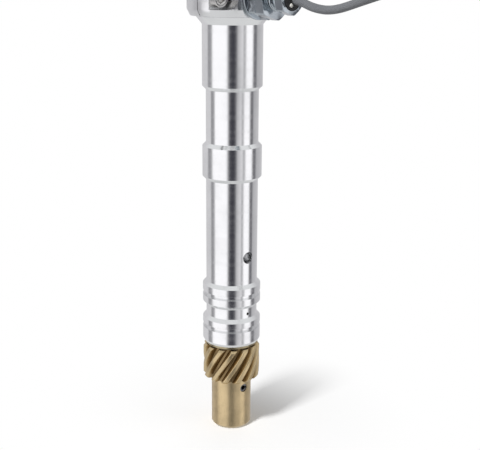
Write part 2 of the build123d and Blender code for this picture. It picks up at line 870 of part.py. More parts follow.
def make_cap():
    low = cap_low_z()
    flange_top = low + cap_flange_h
    outer = rim_r - cap_setback
    inner = rim_r - cap_wall - cap_rim_step
    ceiling = cap_top_z - cap_roof_t
    body = turned(
        [
            (0, cap_top_z),
            (cap_top_r, cap_top_z),
            (outer - cap_draft, cap_top_z - cap_shoulder_h),
            (outer, flange_top),
            (outer, low),
            (inner, low),
            (inner, ceiling - cap_edge),
            (inner - cap_edge, ceiling),
            (0, ceiling),
        ]
    )
    for place in post_places():
        body += place * tower(*post_r)
    body += tower(*centre_post_r)
    guide_r = brush_r + brush_guide_play
    body += disc(guide_r + guide_wall, brush_z()[1] - guide_overlap, cap_top_z)
    for lug in lugs(low, flange_top):
        body += lug - disc(inner + lug_bite, low - 1, flange_top + 1)
    for angle in lug_angles:
        body -= at_angle(angle, lug_centre_r, low + cap_flange_h / 2) * (
            Cylinder(cap_screw_r, cap_flange_h + 1)
        )
    for place in post_places():
        body -= place * disc(stud_shank_r, stud_inner_z - 1, post_top_z + 1)
    body -= disc(stud_shank_r, spring_top_z(), post_top_z + 1)
    body -= disc(guide_r, brush_z()[0], spring_top_z())
    return body


def brush_z():
    low = rotor_z[1] + blade_t + brush_gap
    return low, low + brush_len


def spring_top_z():
    return brush_z()[1] + spring_space


def stud(low):
    """A plug stud with a snap groove near its pointed tip."""
    groove_high = stud_top_z - stud_head_h
    groove_low = groove_high - stud_groove_w
    return turned(
        [
            (0, low),
            (stud_shank_r, low),
            (stud_shank_r, post_top_z),
            (stud_r, post_top_z),
            (stud_r, groove_low),
            (stud_groove_r, groove_low + stud_groove_slope),
            (stud_groove_r, groove_high - stud_groove_slope),
            (stud_r, groove_high),
            (stud_r, stud_top_z - stud_point),
            (stud_r - stud_point, stud_top_z),
            (0, stud_top_z),
        ]
    )


def make_cap_terminals():
    return group(place * stud(stud_inner_z) for place in post_places())


def make_coil_terminal():
    return stud(spring_top_z())


def make_carbon_brush():
    brush = disc(brush_r, *brush_z())
    return chamfer(brush.edges().sort_by(Axis.Z)[0], brush_edge)


def make_brush_spring():
    low = brush_z()[1] + spring_play
    length = spring_space - 2 * spring_play - 2 * spring_wire_r
    path = Pos(0, 0, low + spring_wire_r) * Helix(length / spring_turns, length, spring_r)
    section = Plane(origin=path @ 0, z_dir=path % 0) * Circle(spring_wire_r)
    return sweep(section, path=path)


def make_cap_screws():
    seat = cap_low_z() + cap_flange_h
    screws = []
    for angle in lug_angles:
        body = disc(cap_screw_r, seat - cap_screw_len, seat)
        body += disc(cap_screw_washer_r, seat, seat + cap_screw_washer_t)
        head_low = seat + cap_screw_washer_t
        head = disc(cap_screw_head_r, head_low, head_low + cap_screw_head_h)
        head = chamfer(head.edges().sort_by(Axis.Z)[-1], cap_screw_head_edge)
        slot_w, slot_depth = cap_screw_slot
        head -= Pos(0, 0, head_low + cap_screw_head_h) * Box(3 * cap_screw_head_r, slot_w, 2 * slot_depth)
        turn = Rot(0, 0, angle + cap_screw_slot_deg)
        screws.append(at_angle(angle, lug_centre_r) * turn * (body + head))
    return group(screws)


# ---------------------------------------------------------------- lead
def arc_radii(points):
    """The largest arc at each corner that its two runs leave room for."""
    places = [Vector(*p) for p in points]
    radii = []
    for before, corner, after in zip(places, places[1:], places[2:]):
        run = min((corner - before).length, (after - corner).length)
        turn = (corner - before).get_angle(after - corner)
        radii.append(arc_share * run / tan(radians(turn / 2)))
    return radii


def tube(points, name):
    radii = arc_radii(points)
    path = FilletPolyline(*points, radius=radii)
    section = Plane(origin=path @ 0, z_dir=path % 0) * Circle(lead_d / 2)
    body = sweep(section, path=path)
    straight = pi * (lead_d / 2) ** 2 * path.length
    print(name, "radii", [round(r, 1) for r in radii], "length", round(path.length, 1))
    print(name, "volume over section times length", round(body.volume / straight, 4))
    return body


def make_lead_coil():
    half = coil_width / 2
    low, high = coil_z
    band = turned(
        [
            (coil_r - half + coil_edge, low),
            (coil_r + half - coil_edge, low),
            (coil_r + half, low + coil_edge),
            (coil_r + half, high - coil_edge),
            (coil_r + half - coil_edge, high),
            (coil_r - half + coil_edge, high),
            (coil_r - half, high - coil_edge),
            (coil_r - half, low + coil_edge),
        ]
    )
    return band


def make_cable_ties():
    """Loops round the wound cable, each with its square head on the outside."""
    low, high = coil_z[0] - tie_gap, coil_z[1] + tie_gap
    inner, outer = coil_r - coil_width / 2 - tie_gap, coil_r + coil_width / 2 + tie_room
    ties = []
    for angle in tie_angles:
        middle = Pos((inner + outer) / 2, 0, (low + high) / 2)
        loop = middle * Box(outer - inner + 2 * tie_t, tie_w, high - low + 2 * tie_t)
        loop -= middle * Box(outer - inner, 2 * tie_w, high - low)
        head_x = outer + tie_t + tie_head[0] / 2 - tie_head_bite
        loop += Pos(head_x, 0, (low + high) / 2) * Box(*tie_head)
        ties.append(Rot(0, 0, angle) * loop)
    return group(ties)


def plug_frame():
    """The plane at the lead's end that looks along the plug."""
    end, before = Vector(*tail_route[-1]), Vector(*tail_route[-2])
    along = (end - before).normalized()
    level = Vector(-along.Y, along.X, 0).normalized()
    return Plane(origin=end, x_dir=level, z_dir=along)


def make_plug_seal():
    return plug_frame() * (Pos(0, 0, plug_seal_len / 2) * Cylinder(plug_seal_r, plug_seal_len))


def make_lead_plug():
    start = plug_seal_len
    neck = Pos(0, 0, start + plug_neck_len / 2) * Cylinder(plug_neck_r, plug_neck_len)
    box = Pos(0, 0, start + plug_neck_len + plug_len / 2) * Box(plug_w, plug_h, plug_len)
    box = fillet(box.edges().filter_by(Axis.Z), plug_edge)
    length, width, height = plug_latch
    latch_y = plug_h / 2 + height / 2 - plug_latch_bite
    latch = Pos(0, latch_y, start + plug_neck_len + plug_len * latch_share) * Box(
        width, height + 2 * plug_latch_bite, length
    )
    body = neck + box + latch
    for place in pin_places():
        body -= place * Box(plug_pin_w, plug_pin_w, plug_pin_len * 2)
    return plug_frame() * body


def pin_places():
    end = plug_seal_len + plug_neck_len + plug_len
    first = -(plug_pins - 1) / 2
    return [Pos((first + i) * plug_pin_pitch, 0, end) for i in range(plug_pins)]


def make_plug_contacts():
    width = plug_pin_w - plug_pin_play
    length = plug_pin_len - plug_pin_recess
    pin = Pos(0, 0, -length / 2 - plug_pin_recess) * Box(width, width, length)
    return plug_frame() * group(place * pin for place in pin_places())


NODES = {
    "shank_housing": make_shank_housing,
    "lower_bush": make_lower_bush,
    "shaft_seal": make_shaft_seal,
    "bearing_outer_race": make_bearing_outer_race,
    "bearing_circlip": make_bearing_circlip,
    "bearing_balls": make_bearing_balls,
    "bearing_cage": make_bearing_cage,
    "bearing_inner_race": make_bearing_inner_race,
    "shaft": make_shaft,
    "drive_gear": make_drive_gear,
    "roll_pin": make_roll_pin,
    "thrust_shim": make_thrust_shim,
    "thrust_washer": make_thrust_washer,
    "trigger_wheel": make_trigger_wheel,
    "trigger_screw": make_trigger_screw,
    "rotor": make_rotor,
    "rotor_blade": make_rotor_blade,
    "bowl": make_bowl,
    "clamp_screw": make_clamp_screw,
    "gland_washer": make_gland_washer,
    "gland_lock_nut": make_gland_lock_nut,
    "gland_body": make_gland_body,
    "gland_clamp_nut": make_gland_clamp_nut,
    "gland_seal": make_gland_seal,
    "blanking_pin": make_blanking_pin,
    "sensor_plate": make_sensor_plate,
    "hall_sensor": make_hall_sensor,
    "ignition_module": make_ignition_module,
    "plate_screws": make_plate_screws,
    "bowl_gasket": make_bowl_gasket,
    "cap": make_cap,
    "cap_terminals": make_cap_terminals,
    "coil_terminal": make_coil_terminal,
    "carbon_brush": make_carbon_brush,
    "brush_spring": make_brush_spring,
    "cap_screws": make_cap_screws,
    "lead_tube": lambda: tube(lead_route, "lead_tube"),
    "lead_tail": lambda: tube(tail_route, "lead_tail"),
    "lead_coil": make_lead_coil,
    "cable_ties": make_cable_ties,
    "plug_seal": make_plug_seal,
    "lead_plug": make_lead_plug,
    "plug_contacts": make_plug_contacts,
}

os.makedirs("parts", exist_ok=True)
for node, make in NODES.items():
    write(node, make())
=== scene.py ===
import functools
import logging
import math
from dataclasses import dataclass
from enum import Enum
from typing import Callable, Dict, List, Sequence, Tuple

import bmesh
import bpy
from mathutils import Matrix, Vector


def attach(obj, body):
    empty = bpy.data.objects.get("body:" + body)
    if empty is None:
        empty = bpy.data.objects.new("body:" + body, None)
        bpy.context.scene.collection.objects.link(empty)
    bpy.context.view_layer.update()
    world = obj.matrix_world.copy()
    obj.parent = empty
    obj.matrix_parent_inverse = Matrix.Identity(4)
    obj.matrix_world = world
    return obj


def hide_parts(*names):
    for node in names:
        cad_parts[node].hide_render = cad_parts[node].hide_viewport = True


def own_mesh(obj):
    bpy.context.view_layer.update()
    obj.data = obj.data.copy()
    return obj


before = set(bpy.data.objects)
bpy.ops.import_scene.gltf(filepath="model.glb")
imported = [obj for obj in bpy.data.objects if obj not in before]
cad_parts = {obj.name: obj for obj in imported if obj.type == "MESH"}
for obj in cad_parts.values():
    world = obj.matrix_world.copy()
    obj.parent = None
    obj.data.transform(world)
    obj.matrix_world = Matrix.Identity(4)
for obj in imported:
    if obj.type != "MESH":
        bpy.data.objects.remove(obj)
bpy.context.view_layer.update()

LOG = logging.getLogger("distributor")
MM = 0.001
WELD_REACH = 2e-6
ORIGIN = (0.0, 0.0, 0.0)
WHITE = (1.0, 1.0, 1.0)

Shape = bmesh.types.BMesh
Socket = bpy.types.NodeSocket
Thing = bpy.types.Object
Pair = Tuple[float, float]
Point = Tuple[float, float, float]
Colour = Tuple[float, float, float]
RingRule = Callable[[float], Pair]


class Axis(Enum):
    """The axis that a turned piece was turned about."""

    X = "X"
    Z = "Z"


class Body(Enum):
    """The moving bodies that a piece can ride on."""

    HOUSING = "housing"
    SHAFT = "shaft"
    CAGE = "bearing_cage"
    BOWL = "bowl"
    CAP = "cap"
    BRUSH = "brush"


# ---------------------------------------------------------------- finishes
class NodeSheet:
    """A node tree with short ways to add, join and blend its nodes."""

    def __init__(self, tree: bpy.types.NodeTree) -> None:
        """Take over a tree and empty it."""
        self.tree = tree
        self.tree.nodes.clear()

    def add(self, kind: str) -> bpy.types.Node:
        """Return a new node of that kind."""
        return self.tree.nodes.new(kind)

    def join(self, source: Socket, target: Socket) -> None:
        """Link two sockets."""
        self.tree.links.new(source, target)

    def feed(self, value, target: Socket) -> None:
        """Link a socket to the target, or set the target to a plain value."""
        if isinstance(value, Socket):
            self.join(value, target)
        else:
            target.default_value = value

    def maths(self, operation: str, first, second=0.0) -> Socket:
        """Return the result of one Math node."""
        node = self.add("ShaderNodeMath")
        node.operation = operation
        self.feed(first, node.inputs[0])
        self.feed(second, node.inputs[1])
        return node.outputs["Value"]

    def feed_colour(self, colour, target: Socket) -> None:
        """Link a colour socket to the target, or set the target to a plain colour."""
        self.feed(colour if isinstance(colour, Socket) else (*colour, 1.0), target)

    def spread(self, value, low, high, new_low, new_high) -> Socket:
        """Return the value mapped smoothly from one range to another, held at both ends."""
        node = self.add("ShaderNodeMapRange")
        node.interpolation_type = "SMOOTHSTEP"
        names = ("Value", "From Min", "From Max", "To Min", "To Max")
        for name, number in zip(names, (value, low, high, new_low, new_high)):
            self.feed(number, node.inputs[name])
        return node.outputs["Result"]

    def tint(self, share, first, second) -> Socket:
        """Return a colour between the first and the second, by the share from 0 to 1."""
        node = self.add("ShaderNodeMix")
        node.data_type = "RGBA"
        self.feed(share, node.inputs["Factor"])
        for socket, colour in zip((s for s in node.inputs if s.type == "RGBA"), (first, second)):
            self.feed_colour(colour, socket)
        return next(s for s in node.outputs if s.type == "RGBA")

    def split(self, where: Socket) -> List[Socket]:
        """Return the three parts of a vector."""
        node = self.add("ShaderNodeSeparateXYZ")
        self.join(where, node.inputs["Vector"])
        return list(node.outputs)

    def distance(self, first: Socket, second: Socket) -> Socket:
        """Return the root of the sum of two squares."""
        squares = [self.maths("MULTIPLY", part, part) for part in (first, second)]
        return self.maths("SQRT", self.maths("ADD", *squares))


class Recipe(NodeSheet):
    """The node tree of one finish, built node by node from Object coordinates."""

    def __init__(self, name: str) -> None:
        """Start a material of that name with one Principled shader."""
        self.material = bpy.data.materials.new(name)
        self.material.use_nodes = True
        super().__init__(self.material.node_tree)
        self.shader = self.add("ShaderNodeBsdfPrincipled")
        output = self.add("ShaderNodeOutputMaterial")
        self.join(self.shader.outputs["BSDF"], output.inputs["Surface"])
        self.place = self.add("ShaderNodeTexCoord").outputs["Object"]

    def plain(self, **values) -> None:
        """Set plain values on the shader's own sockets, with _ for a space."""
        for name, value in values.items():
            self.shader.inputs[name.replace("_", " ")].default_value = value

    def moved(
        self, shift: Point = ORIGIN, scale: Point = (1.0, 1.0, 1.0), turn: Point = ORIGIN
    ) -> Socket:
        """Return the Object coordinates scaled, turned and shifted."""
        node = self.add("ShaderNodeMapping")
        self.join(self.place, node.inputs["Vector"])
        node.inputs["Location"].default_value = shift
        node.inputs["Scale"].default_value = scale
        node.inputs["Rotation"].default_value = turn
        return node.outputs["Vector"]

    def noise(
        self, where: Socket, scale: float, detail: float = 3.0, rough: float = 0.55
    ) -> Socket:
        """Return a cloudy value from 0 to 1.

        Args:
            where: the coordinates that it is read at.
            scale: how many features there are in a metre.
            detail: how many finer layers it has.
            rough: how strong the finer layers are.

        Returns:
            The noise's value socket.
        """
        node = self.add("ShaderNodeTexNoise")
        self.join(where, node.inputs["Vector"])
        node.inputs["Scale"].default_value = scale
        node.inputs["Detail"].default_value = detail
        node.inputs["Roughness"].default_value = rough
        return node.outputs["Fac"]

    def lines(self, value: Socket, per_metre: float, detail: float = 2.0) -> Socket:
        """Return uneven lines from 0 to 1 that follow one value, as a lathe tool leaves them."""
        node = self.add("ShaderNodeTexNoise")
        node.noise_dimensions = "1D"
        self.join(value, node.inputs["W"])
        node.inputs["Scale"].default_value = per_metre
        node.inputs["Detail"].default_value = detail
        return node.outputs["Fac"]

    def tool_path(self, axis: Axis, centre: Point) -> Socket:
        """Return how far along the tool's path a point is: its height plus its distance from the axis."""
        x, y, z = self.split(self.moved(shift=tuple(-c for c in centre)))
        if axis is Axis.Z:
            return self.maths("ADD", self.distance(x, y), z)
        return self.maths("ADD", self.distance(y, z), x)

    def relief(self, *layers: Tuple[Socket, float]) -> None:
        """Lay bumps one over another on the shader.

        Args:
            layers: pairs of a height from 0 to 1 and the depth in metres that it stands for.
        """
        under = None
        for height, depth in layers:
            node = self.add("ShaderNodeBump")
            node.inputs["Strength"].default_value = 1.0
            node.inputs["Distance"].default_value = depth
            self.join(height, node.inputs["Height"])
            if under is not None:
                self.join(under, node.inputs["Normal"])
            under = node.outputs["Normal"]
        self.join(under, self.shader.inputs["Normal"])

    def paint(self, colour, roughness) -> None:
        """Feed the shader's base colour and roughness."""
        self.feed_colour(colour, self.shader.inputs["Base Color"])
        self.feed(roughness, self.shader.inputs["Roughness"])


@dataclass(frozen=True)
class TurnedMetal:
    """Bare metal as it leaves the lathe: fine tool rings, faint stains and a satin shine."""

    name: str
    colour: Colour
    stain: Colour
    roughness: float = 0.2
    rings_per_metre: float = 5200.0
    ring_depth: float = 0.9e-6
    stain_per_metre: float = 45.0
    axis: Axis = Axis.Z
    centre: Point = ORIGIN

    def mix(self) -> bpy.types.Material:
        """Return the material."""
        r = Recipe(self.name)
        r.plain(Metallic=1.0)
        path = r.tool_path(self.axis, self.centre)
        fine = r.lines(path, self.rings_per_metre)
        broad = r.lines(path, self.rings_per_metre / 14, 3.0)
        cloud = r.noise(r.place, self.stain_per_metre, 5.0, 0.6)
        speck = r.noise(r.place, self.stain_per_metre * 22, 2.0, 0.5)
        stain = r.spread(cloud, 0.42, 0.72, 0.0, 0.55)
        worn = r.maths("ADD", stain, r.spread(speck, 0.66, 0.78, 0.0, 0.35))
        shade = r.tint(worn, self.colour, self.stain)
        rough = r.spread(r.maths("ADD", cloud, broad), 0.7, 1.35, self.roughness * 0.8, self.roughness * 1.3)
        r.paint(shade, rough)
        r.relief((broad, self.ring_depth * 3), (fine, self.ring_depth), (speck, self.ring_depth * 0.6))
        return r.material


@dataclass(frozen=True)
class GearBronze:
    """Cut bronze: satin tips, painted shade that darkens the roots between the teeth, and a hobbed grain
    along the teeth.
    """

    name: str
    colour: Colour
    root_shade_colour: Colour
    root_radius: float
    tip_radius: float
    low_height: float
    roughness: float = 0.33

    def mix(self) -> bpy.types.Material:
        """Return the material."""
        r = Recipe(self.name)
        r.plain(Metallic=1.0)
        x, y, z = r.split(r.place)
        radius = r.distance(x, y)
        # painted shade: the colour darkens from the tooth tips down to the roots, on the toothed part only
        depth = r.spread(radius, self.root_radius, self.tip_radius, 1.0, 0.0)
        toothed = r.spread(z, self.low_height - 0.4 * MM, self.low_height + 0.4 * MM, 0.0, 1.0)
        root_shade = r.maths("MULTIPLY", r.maths("MULTIPLY", depth, toothed), 0.8)
        cloud = r.noise(r.place, 90.0, 5.0, 0.62)
        grain = r.noise(r.moved(scale=(1.0, 1.0, 0.25)), 2600.0, 3.0, 0.6)
        rings = r.lines(r.tool_path(Axis.Z, ORIGIN), 4200.0)
        base = r.tint(r.spread(cloud, 0.38, 0.7, 0.0, 1.0), self.colour, tuple(0.8 * c for c in self.colour))
        rough = r.spread(grain, 0.3, 0.75, self.roughness * 0.85, self.roughness * 1.35)
        r.paint(r.tint(root_shade, base, self.root_shade_colour), rough)
        r.relief((rings, 1.6e-6), (grain, 1.8e-6))
        return r.material


@dataclass(frozen=True)
class PlatedMetal:
    """Zinc plating or rolled stainless: a soft crystalline bloom over a smooth surface."""

    name: str
    colour: Colour
    bloom: Colour
    roughness: float = 0.3
    bloom_per_metre: float = 160.0
    grain_depth: float = 1.4e-6

    def mix(self) -> bpy.types.Material:
        """Return the material."""
        r = Recipe(self.name)
        r.plain(Metallic=1.0)
        cloud = r.noise(r.place, self.bloom_per_metre, 6.0, 0.65)
        grain = r.noise(r.place, self.bloom_per_metre * 16, 2.0, 0.6)
        share = r.spread(cloud, 0.36, 0.68, 0.0, 1.0)
        r.paint(
            r.tint(share, self.colour, self.bloom),
            r.spread(cloud, 0.3, 0.72, self.roughness * 0.8, self.roughness * 1.4),
        )
        r.relief((cloud, self.grain_depth * 5), (grain, self.grain_depth))
        return r.material


@dataclass(frozen=True)
class Moulded:
    """Plastic, rubber or fibre from a mould: a fine texture, faint flow marks and handling wear."""

    name: str
    colour: Colour
    worn: Colour
    roughness: float = 0.45
    grain_per_metre: float = 3200.0
    grain_depth: float = 5e-6
    gloss: float = 0.5

    def mix(self) -> bpy.types.Material:
        """Return the material."""
        r = Recipe(self.name)
        r.plain(Metallic=0.0, Specular_IOR_Level=self.gloss)
        flow = r.noise(r.moved(scale=(1.0, 1.0, 2.2)), 60.0, 5.0, 0.6)
        grain = r.noise(r.place, self.grain_per_metre, 2.0, 0.6)
        dust = r.noise(r.place, self.grain_per_metre / 5, 3.0, 0.7)
        share = r.maths("ADD", r.spread(flow, 0.42, 0.75, 0.0, 0.5), r.spread(dust, 0.62, 0.8, 0.0, 0.4))
        r.paint(
            r.tint(share, self.colour, self.worn),
            r.spread(flow, 0.3, 0.7, self.roughness * 0.88, self.roughness * 1.18),
        )
        r.relief((flow, self.grain_depth * 3), (grain, self.grain_depth))
        return r.material


BILLET = TurnedMetal("billet_aluminium", (0.86, 0.865, 0.87), (0.74, 0.745, 0.75), 0.17)
MILLED = TurnedMetal("milled_aluminium", (0.83, 0.835, 0.84), (0.7, 0.705, 0.71), 0.34, 2600.0, 1.4e-6)
GROUND_STEEL = TurnedMetal("ground_steel", (0.62, 0.62, 0.63), (0.48, 0.47, 0.46), 0.16, 7000.0, 0.7e-6)
RACE_STEEL = TurnedMetal("race_steel", (0.7, 0.7, 0.71), (0.58, 0.58, 0.59), 0.1, 8000.0, 0.4e-6)
BUSH_BRONZE = TurnedMetal("bush_bronze", (0.62, 0.42, 0.24), (0.42, 0.27, 0.15), 0.36, 3600.0, 1.5e-6)
WASHER_BRONZE = TurnedMetal("washer_bronze", (0.42, 0.36, 0.23), (0.3, 0.25, 0.15), 0.3, 3600.0, 1.4e-6)
BRASS = TurnedMetal("terminal_brass", (0.83, 0.66, 0.36), (0.6, 0.45, 0.22), 0.2, 5200.0, 0.9e-6)
SPRING_STEEL = PlatedMetal("spring_steel", (0.22, 0.22, 0.23), (0.14, 0.14, 0.15), 0.36, 220.0)
STAINLESS = PlatedMetal("stainless_steel", (0.7, 0.69, 0.67), (0.6, 0.59, 0.57), 0.24, 240.0, 0.9e-6)
ZINC = PlatedMetal("zinc_plate", (0.4, 0.44, 0.475), (0.47, 0.51, 0.54), 0.13, 60.0, 0.4e-6)
SEAL_RUBBER = Moulded("seal_rubber", (0.016, 0.016, 0.017), (0.05, 0.05, 0.052), 0.55, 2400.0, 9e-6)
GASKET_FIBRE = Moulded("gasket_fibre", (0.05, 0.052, 0.056), (0.1, 0.1, 0.105), 0.8, 2600.0, 2e-5, 0.3)
WHITE_NYLON = Moulded("white_nylon", (0.74, 0.73, 0.69), (0.62, 0.6, 0.54), 0.42)
TIE_NYLON = Moulded("tie_nylon", (0.62, 0.61, 0.56), (0.5, 0.49, 0.44), 0.4)
BLACK_NYLON = Moulded("black_nylon", (0.02, 0.02, 0.021), (0.055, 0.055, 0.057), 0.42, 2800.0, 8e-6)
CAP_MOULDING = Moulded("cap_moulding", (0.018, 0.018, 0.02), (0.05, 0.05, 0.053), 0.3, 3600.0, 3e-6)
ROTOR_MOULDING = Moulded("rotor_moulding", (0.13, 0.035, 0.02), (0.2, 0.065, 0.04), 0.38, 3000.0, 5e-6)
POTTING = Moulded("potting_resin", (0.012, 0.013, 0.016), (0.03, 0.032, 0.036), 0.2, 900.0, 9e-6, 0.6)
CARBON = Moulded("carbon_brush", (0.03, 0.03, 0.032), (0.09, 0.09, 0.094), 0.5, 4200.0, 6e-6)
CABLE_GREY = Moulded("cable_jacket", (0.125, 0.13, 0.14), (0.17, 0.175, 0.183), 0.46, 1800.0, 7e-6, 0.45)
# the second colour is painted shade at the tooth roots
GEAR_BRONZE = GearBronze(
    "gear_bronze", (0.7, 0.55, 0.32), (0.17, 0.105, 0.04), 12.4 * MM, 15.6 * MM, 29.6 * MM
)


@functools.lru_cache(maxsize=None)
def material_of(finish) -> bpy.types.Material:
    """Return the one material of a finish, mixed the first time it is asked for."""
    return finish.mix()


# ---------------------------------------------------------------- shapes
def softened_outline(
    points: Sequence[Sequence[float]], radius: float, closed: bool, steps: int = 3
) -> List[Pair]:
    """Round the corners of an outline.

    Args:
        points: (radius, height) corners in order, each with its own corner radius as a third value where it
            differs from the rest.
        radius: the corner radius of the rest.
        closed: whether the last corner joins the first.
        steps: how many chords each rounded corner has.

    Returns:
        The outline's new points.
    """
    count = len(points)
    result: List[Pair] = []
    for i, entry in enumerate(points):
        corner = Vector(entry[:2])
        wanted = entry[2] if len(entry) > 2 else radius
        if (not closed and i in (0, count - 1)) or wanted <= 0:
            result.append((corner.x, corner.y))
            continue
        back = Vector(points[i - 1][:2]) - corner
        ahead = Vector(points[(i + 1) % count][:2]) - corner
        angle = back.angle(ahead)
        if angle > math.radians(178):
            result.append((corner.x, corner.y))
            continue
        reach = min(wanted / math.tan(angle / 2), 0.42 * back.length, 0.42 * ahead.length)
        start, end = corner + back.normalized() * reach, corner + ahead.normalized() * reach
        for k in range(steps + 1):
            t = k / steps
            spot = start * (1 - t) ** 2 + corner * (2 * t * (1 - t)) + end * t ** 2
            result.append((spot.x, spot.y))
    return result


def steady(radius: float, height: float) -> RingRule:
    """Return the rule of a round ring."""
    return lambda angle: (radius, height)


def hexagon_reach(angle: float, across_flats: float, corner: float) -> float:
    """Return how far a hexagon reaches at that angle, with its corners held in to a radius."""
    sixth = math.radians(60)
    local = (angle + sixth / 2) % sixth - sixth / 2
    return min(across_flats / 2 / math.cos(local), corner)


def loft(rules: Sequence[RingRule], segments: int, closed: bool) -> Shape:
    """Skin a row of rings about Z.

    Args:
        rules: what gives each ring's radius and height at an angle.
        segments: how many steps each ring has.
        closed: whether the last ring joins the first, as on a piece with a bore.

    Returns:
        The shape, with its faces pointing outwards.
    """
    shape = bmesh.new()
    rows = []
    for rule in rules:
        spots = [(2 * math.pi * i / segments, *rule(2 * math.pi * i / segments)) for i in range(segments)]
        if max(radius for _, radius, _ in spots) < 1e-7:
            rows.append([shape.verts.new((0, 0, spots[0][2]))])
        else:
            rows.append([shape.verts.new((r * math.cos(a), r * math.sin(a), z)) for a, r, z in spots])
    pairs = list(zip(rows, rows[1:]))
    if closed:
        pairs.append((rows[-1], rows[0]))
    for lower, upper in pairs:
        for i in range(segments):
            j = (i + 1) % segments
            corners = [row[k % len(row)] for row, k in ((lower, i), (lower, j), (upper, j), (upper, i))]
            corners = list(dict.fromkeys(corners))
            if len(corners) > 2:
                shape.faces.new(corners)
    bmesh.ops.recalc_face_normals(shape, faces=shape.faces)
    return shape


def turned(
    points: Sequence[Sequence[float]], radius: float = 0.2, segments: int = 128, closed: bool = True
) -> Shape:
    """Turn an outline in millimetres about Z, with its corners rounded."""
    outline = softened_outline(points, radius, closed)
    return loft([steady(r * MM, z * MM) for r, z in outline], segments, closed)


def rod(radius: float, low: float, high: float) -> Shape:
    """Return a plain rod about Z, in millimetres."""
    corners = ((0, low), (radius, low), (radius, high), (0, high))
    return loft([steady(r * MM, z * MM) for r, z in corners], 48, False)


@dataclass(frozen=True)
class Hexagon:
    """A hexagonal nut or collar with cone-bevelled ends, about Z, in millimetres."""

    across_flats: float
    low: float
    high: float
    bore: float
    low_bevel: float = 1.0
    high_bevel: float = 1.0
    corner_cut: float = 0.18
    slope_deg: float = 30.0
    shoulder: float = 0.12
    shoulder_inset: float = 0.04
    face_inset: float = 0.08
    bore_edge: float = 0.35

    def shape(self, segments: int = 144) -> Shape:
        """Return the hexagon's shape."""
        corner = self.across_flats / math.sqrt(3) - self.corner_cut
        slope = math.tan(math.radians(self.slope_deg))

        def drop(angle: float, bevel: float) -> float:
            """Return how far below its end the bevel's cone meets the side."""
            reach = hexagon_reach(angle, self.across_flats, corner)
            return max(0.0, reach - (corner - bevel)) * slope

        def side(end: float, bevel: float, sign: float, inset: float) -> RingRule:
            """Return the rule of the ring where the cone meets the side, set in by a little."""
            return lambda a: (
                (hexagon_reach(a, self.across_flats, corner) - inset) * MM,
                (end + sign * (drop(a, bevel) + (0.0 if inset else self.shoulder))) * MM,
            )

        def face(end: float, bevel: float) -> RingRule:
            """Return the rule of the flat face's edge."""
            return lambda a: (
                (min(hexagon_reach(a, self.across_flats, corner), corner - bevel) - self.face_inset) * MM,
                end * MM,
            )

        edge = self.bore_edge
        rules = [
            steady(self.bore * MM, (self.high - edge) * MM),
            steady((self.bore + edge) * MM, self.high * MM),
            face(self.high, self.high_bevel),
            side(self.high, self.high_bevel, -1, self.shoulder_inset),
            side(self.high, self.high_bevel, -1, 0.0),
            side(self.low, self.low_bevel, 1, 0.0),
            side(self.low, self.low_bevel, 1, self.shoulder_inset),
            face(self.low, self.low_bevel),
            steady((self.bore + edge) * MM, self.low * MM),
            steady(self.bore * MM, (self.low + edge) * MM),
        ]
        return loft(rules, segments, True)


def placed(shape: Shape, matrix: Matrix) -> Shape:
    """Move a shape to its place, in its own points."""
    shape.transform(matrix)
    return shape


def along_x(x: float, y: float, z: float, turn_deg: float = 0.0) -> Matrix:
    """Return the matrix that lays a shape's own Z along +X at a point in millimetres."""
    tilt = Matrix(((0, 0, 1, 0), (1, 0, 0, 0), (0, 1, 0, 0), (0, 0, 0, 1)))
    return Matrix.Translation(Vector((x, y, z)) * MM) @ tilt @ Matrix.Rotation(math.radians(turn_deg), 4, "Z")


def joined(*shapes: Shape) -> Shape:
    """Put several shapes in one."""
    whole = bmesh.new()
    for shape in shapes:
        mesh = bpy.data.meshes.new("joint")
        shape.to_mesh(mesh)
        shape.free()
        whole.from_mesh(mesh)
        bpy.data.meshes.remove(mesh)
    return whole


def new_object(name: str, shape: Shape) -> Thing:
    """Turn a shape into a scene object."""
    mesh = bpy.data.meshes.new(name)
    shape.to_mesh(mesh)
    shape.free()
    thing = bpy.data.objects.new(name, mesh)
    bpy.context.scene.collection.objects.link(thing)
    return thing


def discard(thing: Thing) -> None:
    """Remove a helper object."""
    bpy.data.objects.remove(thing)


def settle_modifiers(thing: Thing) -> None:
    """Swap an object's mesh for the result of its modifiers, and drop them."""
    bpy.context.view_layer.update()
    shaped = thing.evaluated_get(bpy.context.evaluated_depsgraph_get())
    mesh = bpy.data.meshes.new_from_object(shaped)
    thing.modifiers.clear()
    thing.data = mesh


def drill(thing: Thing, *cutters: Shape) -> None:
    """Cut shapes out of an object."""
    for shape in cutters:
        cutter = new_object("cutter", shape)
        cut = thing.modifiers.new("cut", "BOOLEAN")
        cut.operation = "DIFFERENCE"
        cut.solver = "EXACT"
        cut.object = cutter
        settle_modifiers(thing)
        discard(cutter)


def rounded_edges(thing: Thing, width: float, angle_deg: float = 35.0, chords: int = 2) -> None:
    """Round an object's sharp edges.

    Args:
        thing: the object.
        width: the rounding's width in millimetres.
        angle_deg: the turn from which an edge counts as sharp.
        chords: how many chords the rounding has.
    """
    bevel = thing.modifiers.new("edges", "BEVEL")
    bevel.width = width * MM
    bevel.segments = chords
    bevel.limit_method = "ANGLE"
    bevel.angle_limit = math.radians(angle_deg)
    bevel.use_clamp_overlap = True
    settle_modifiers(thing)


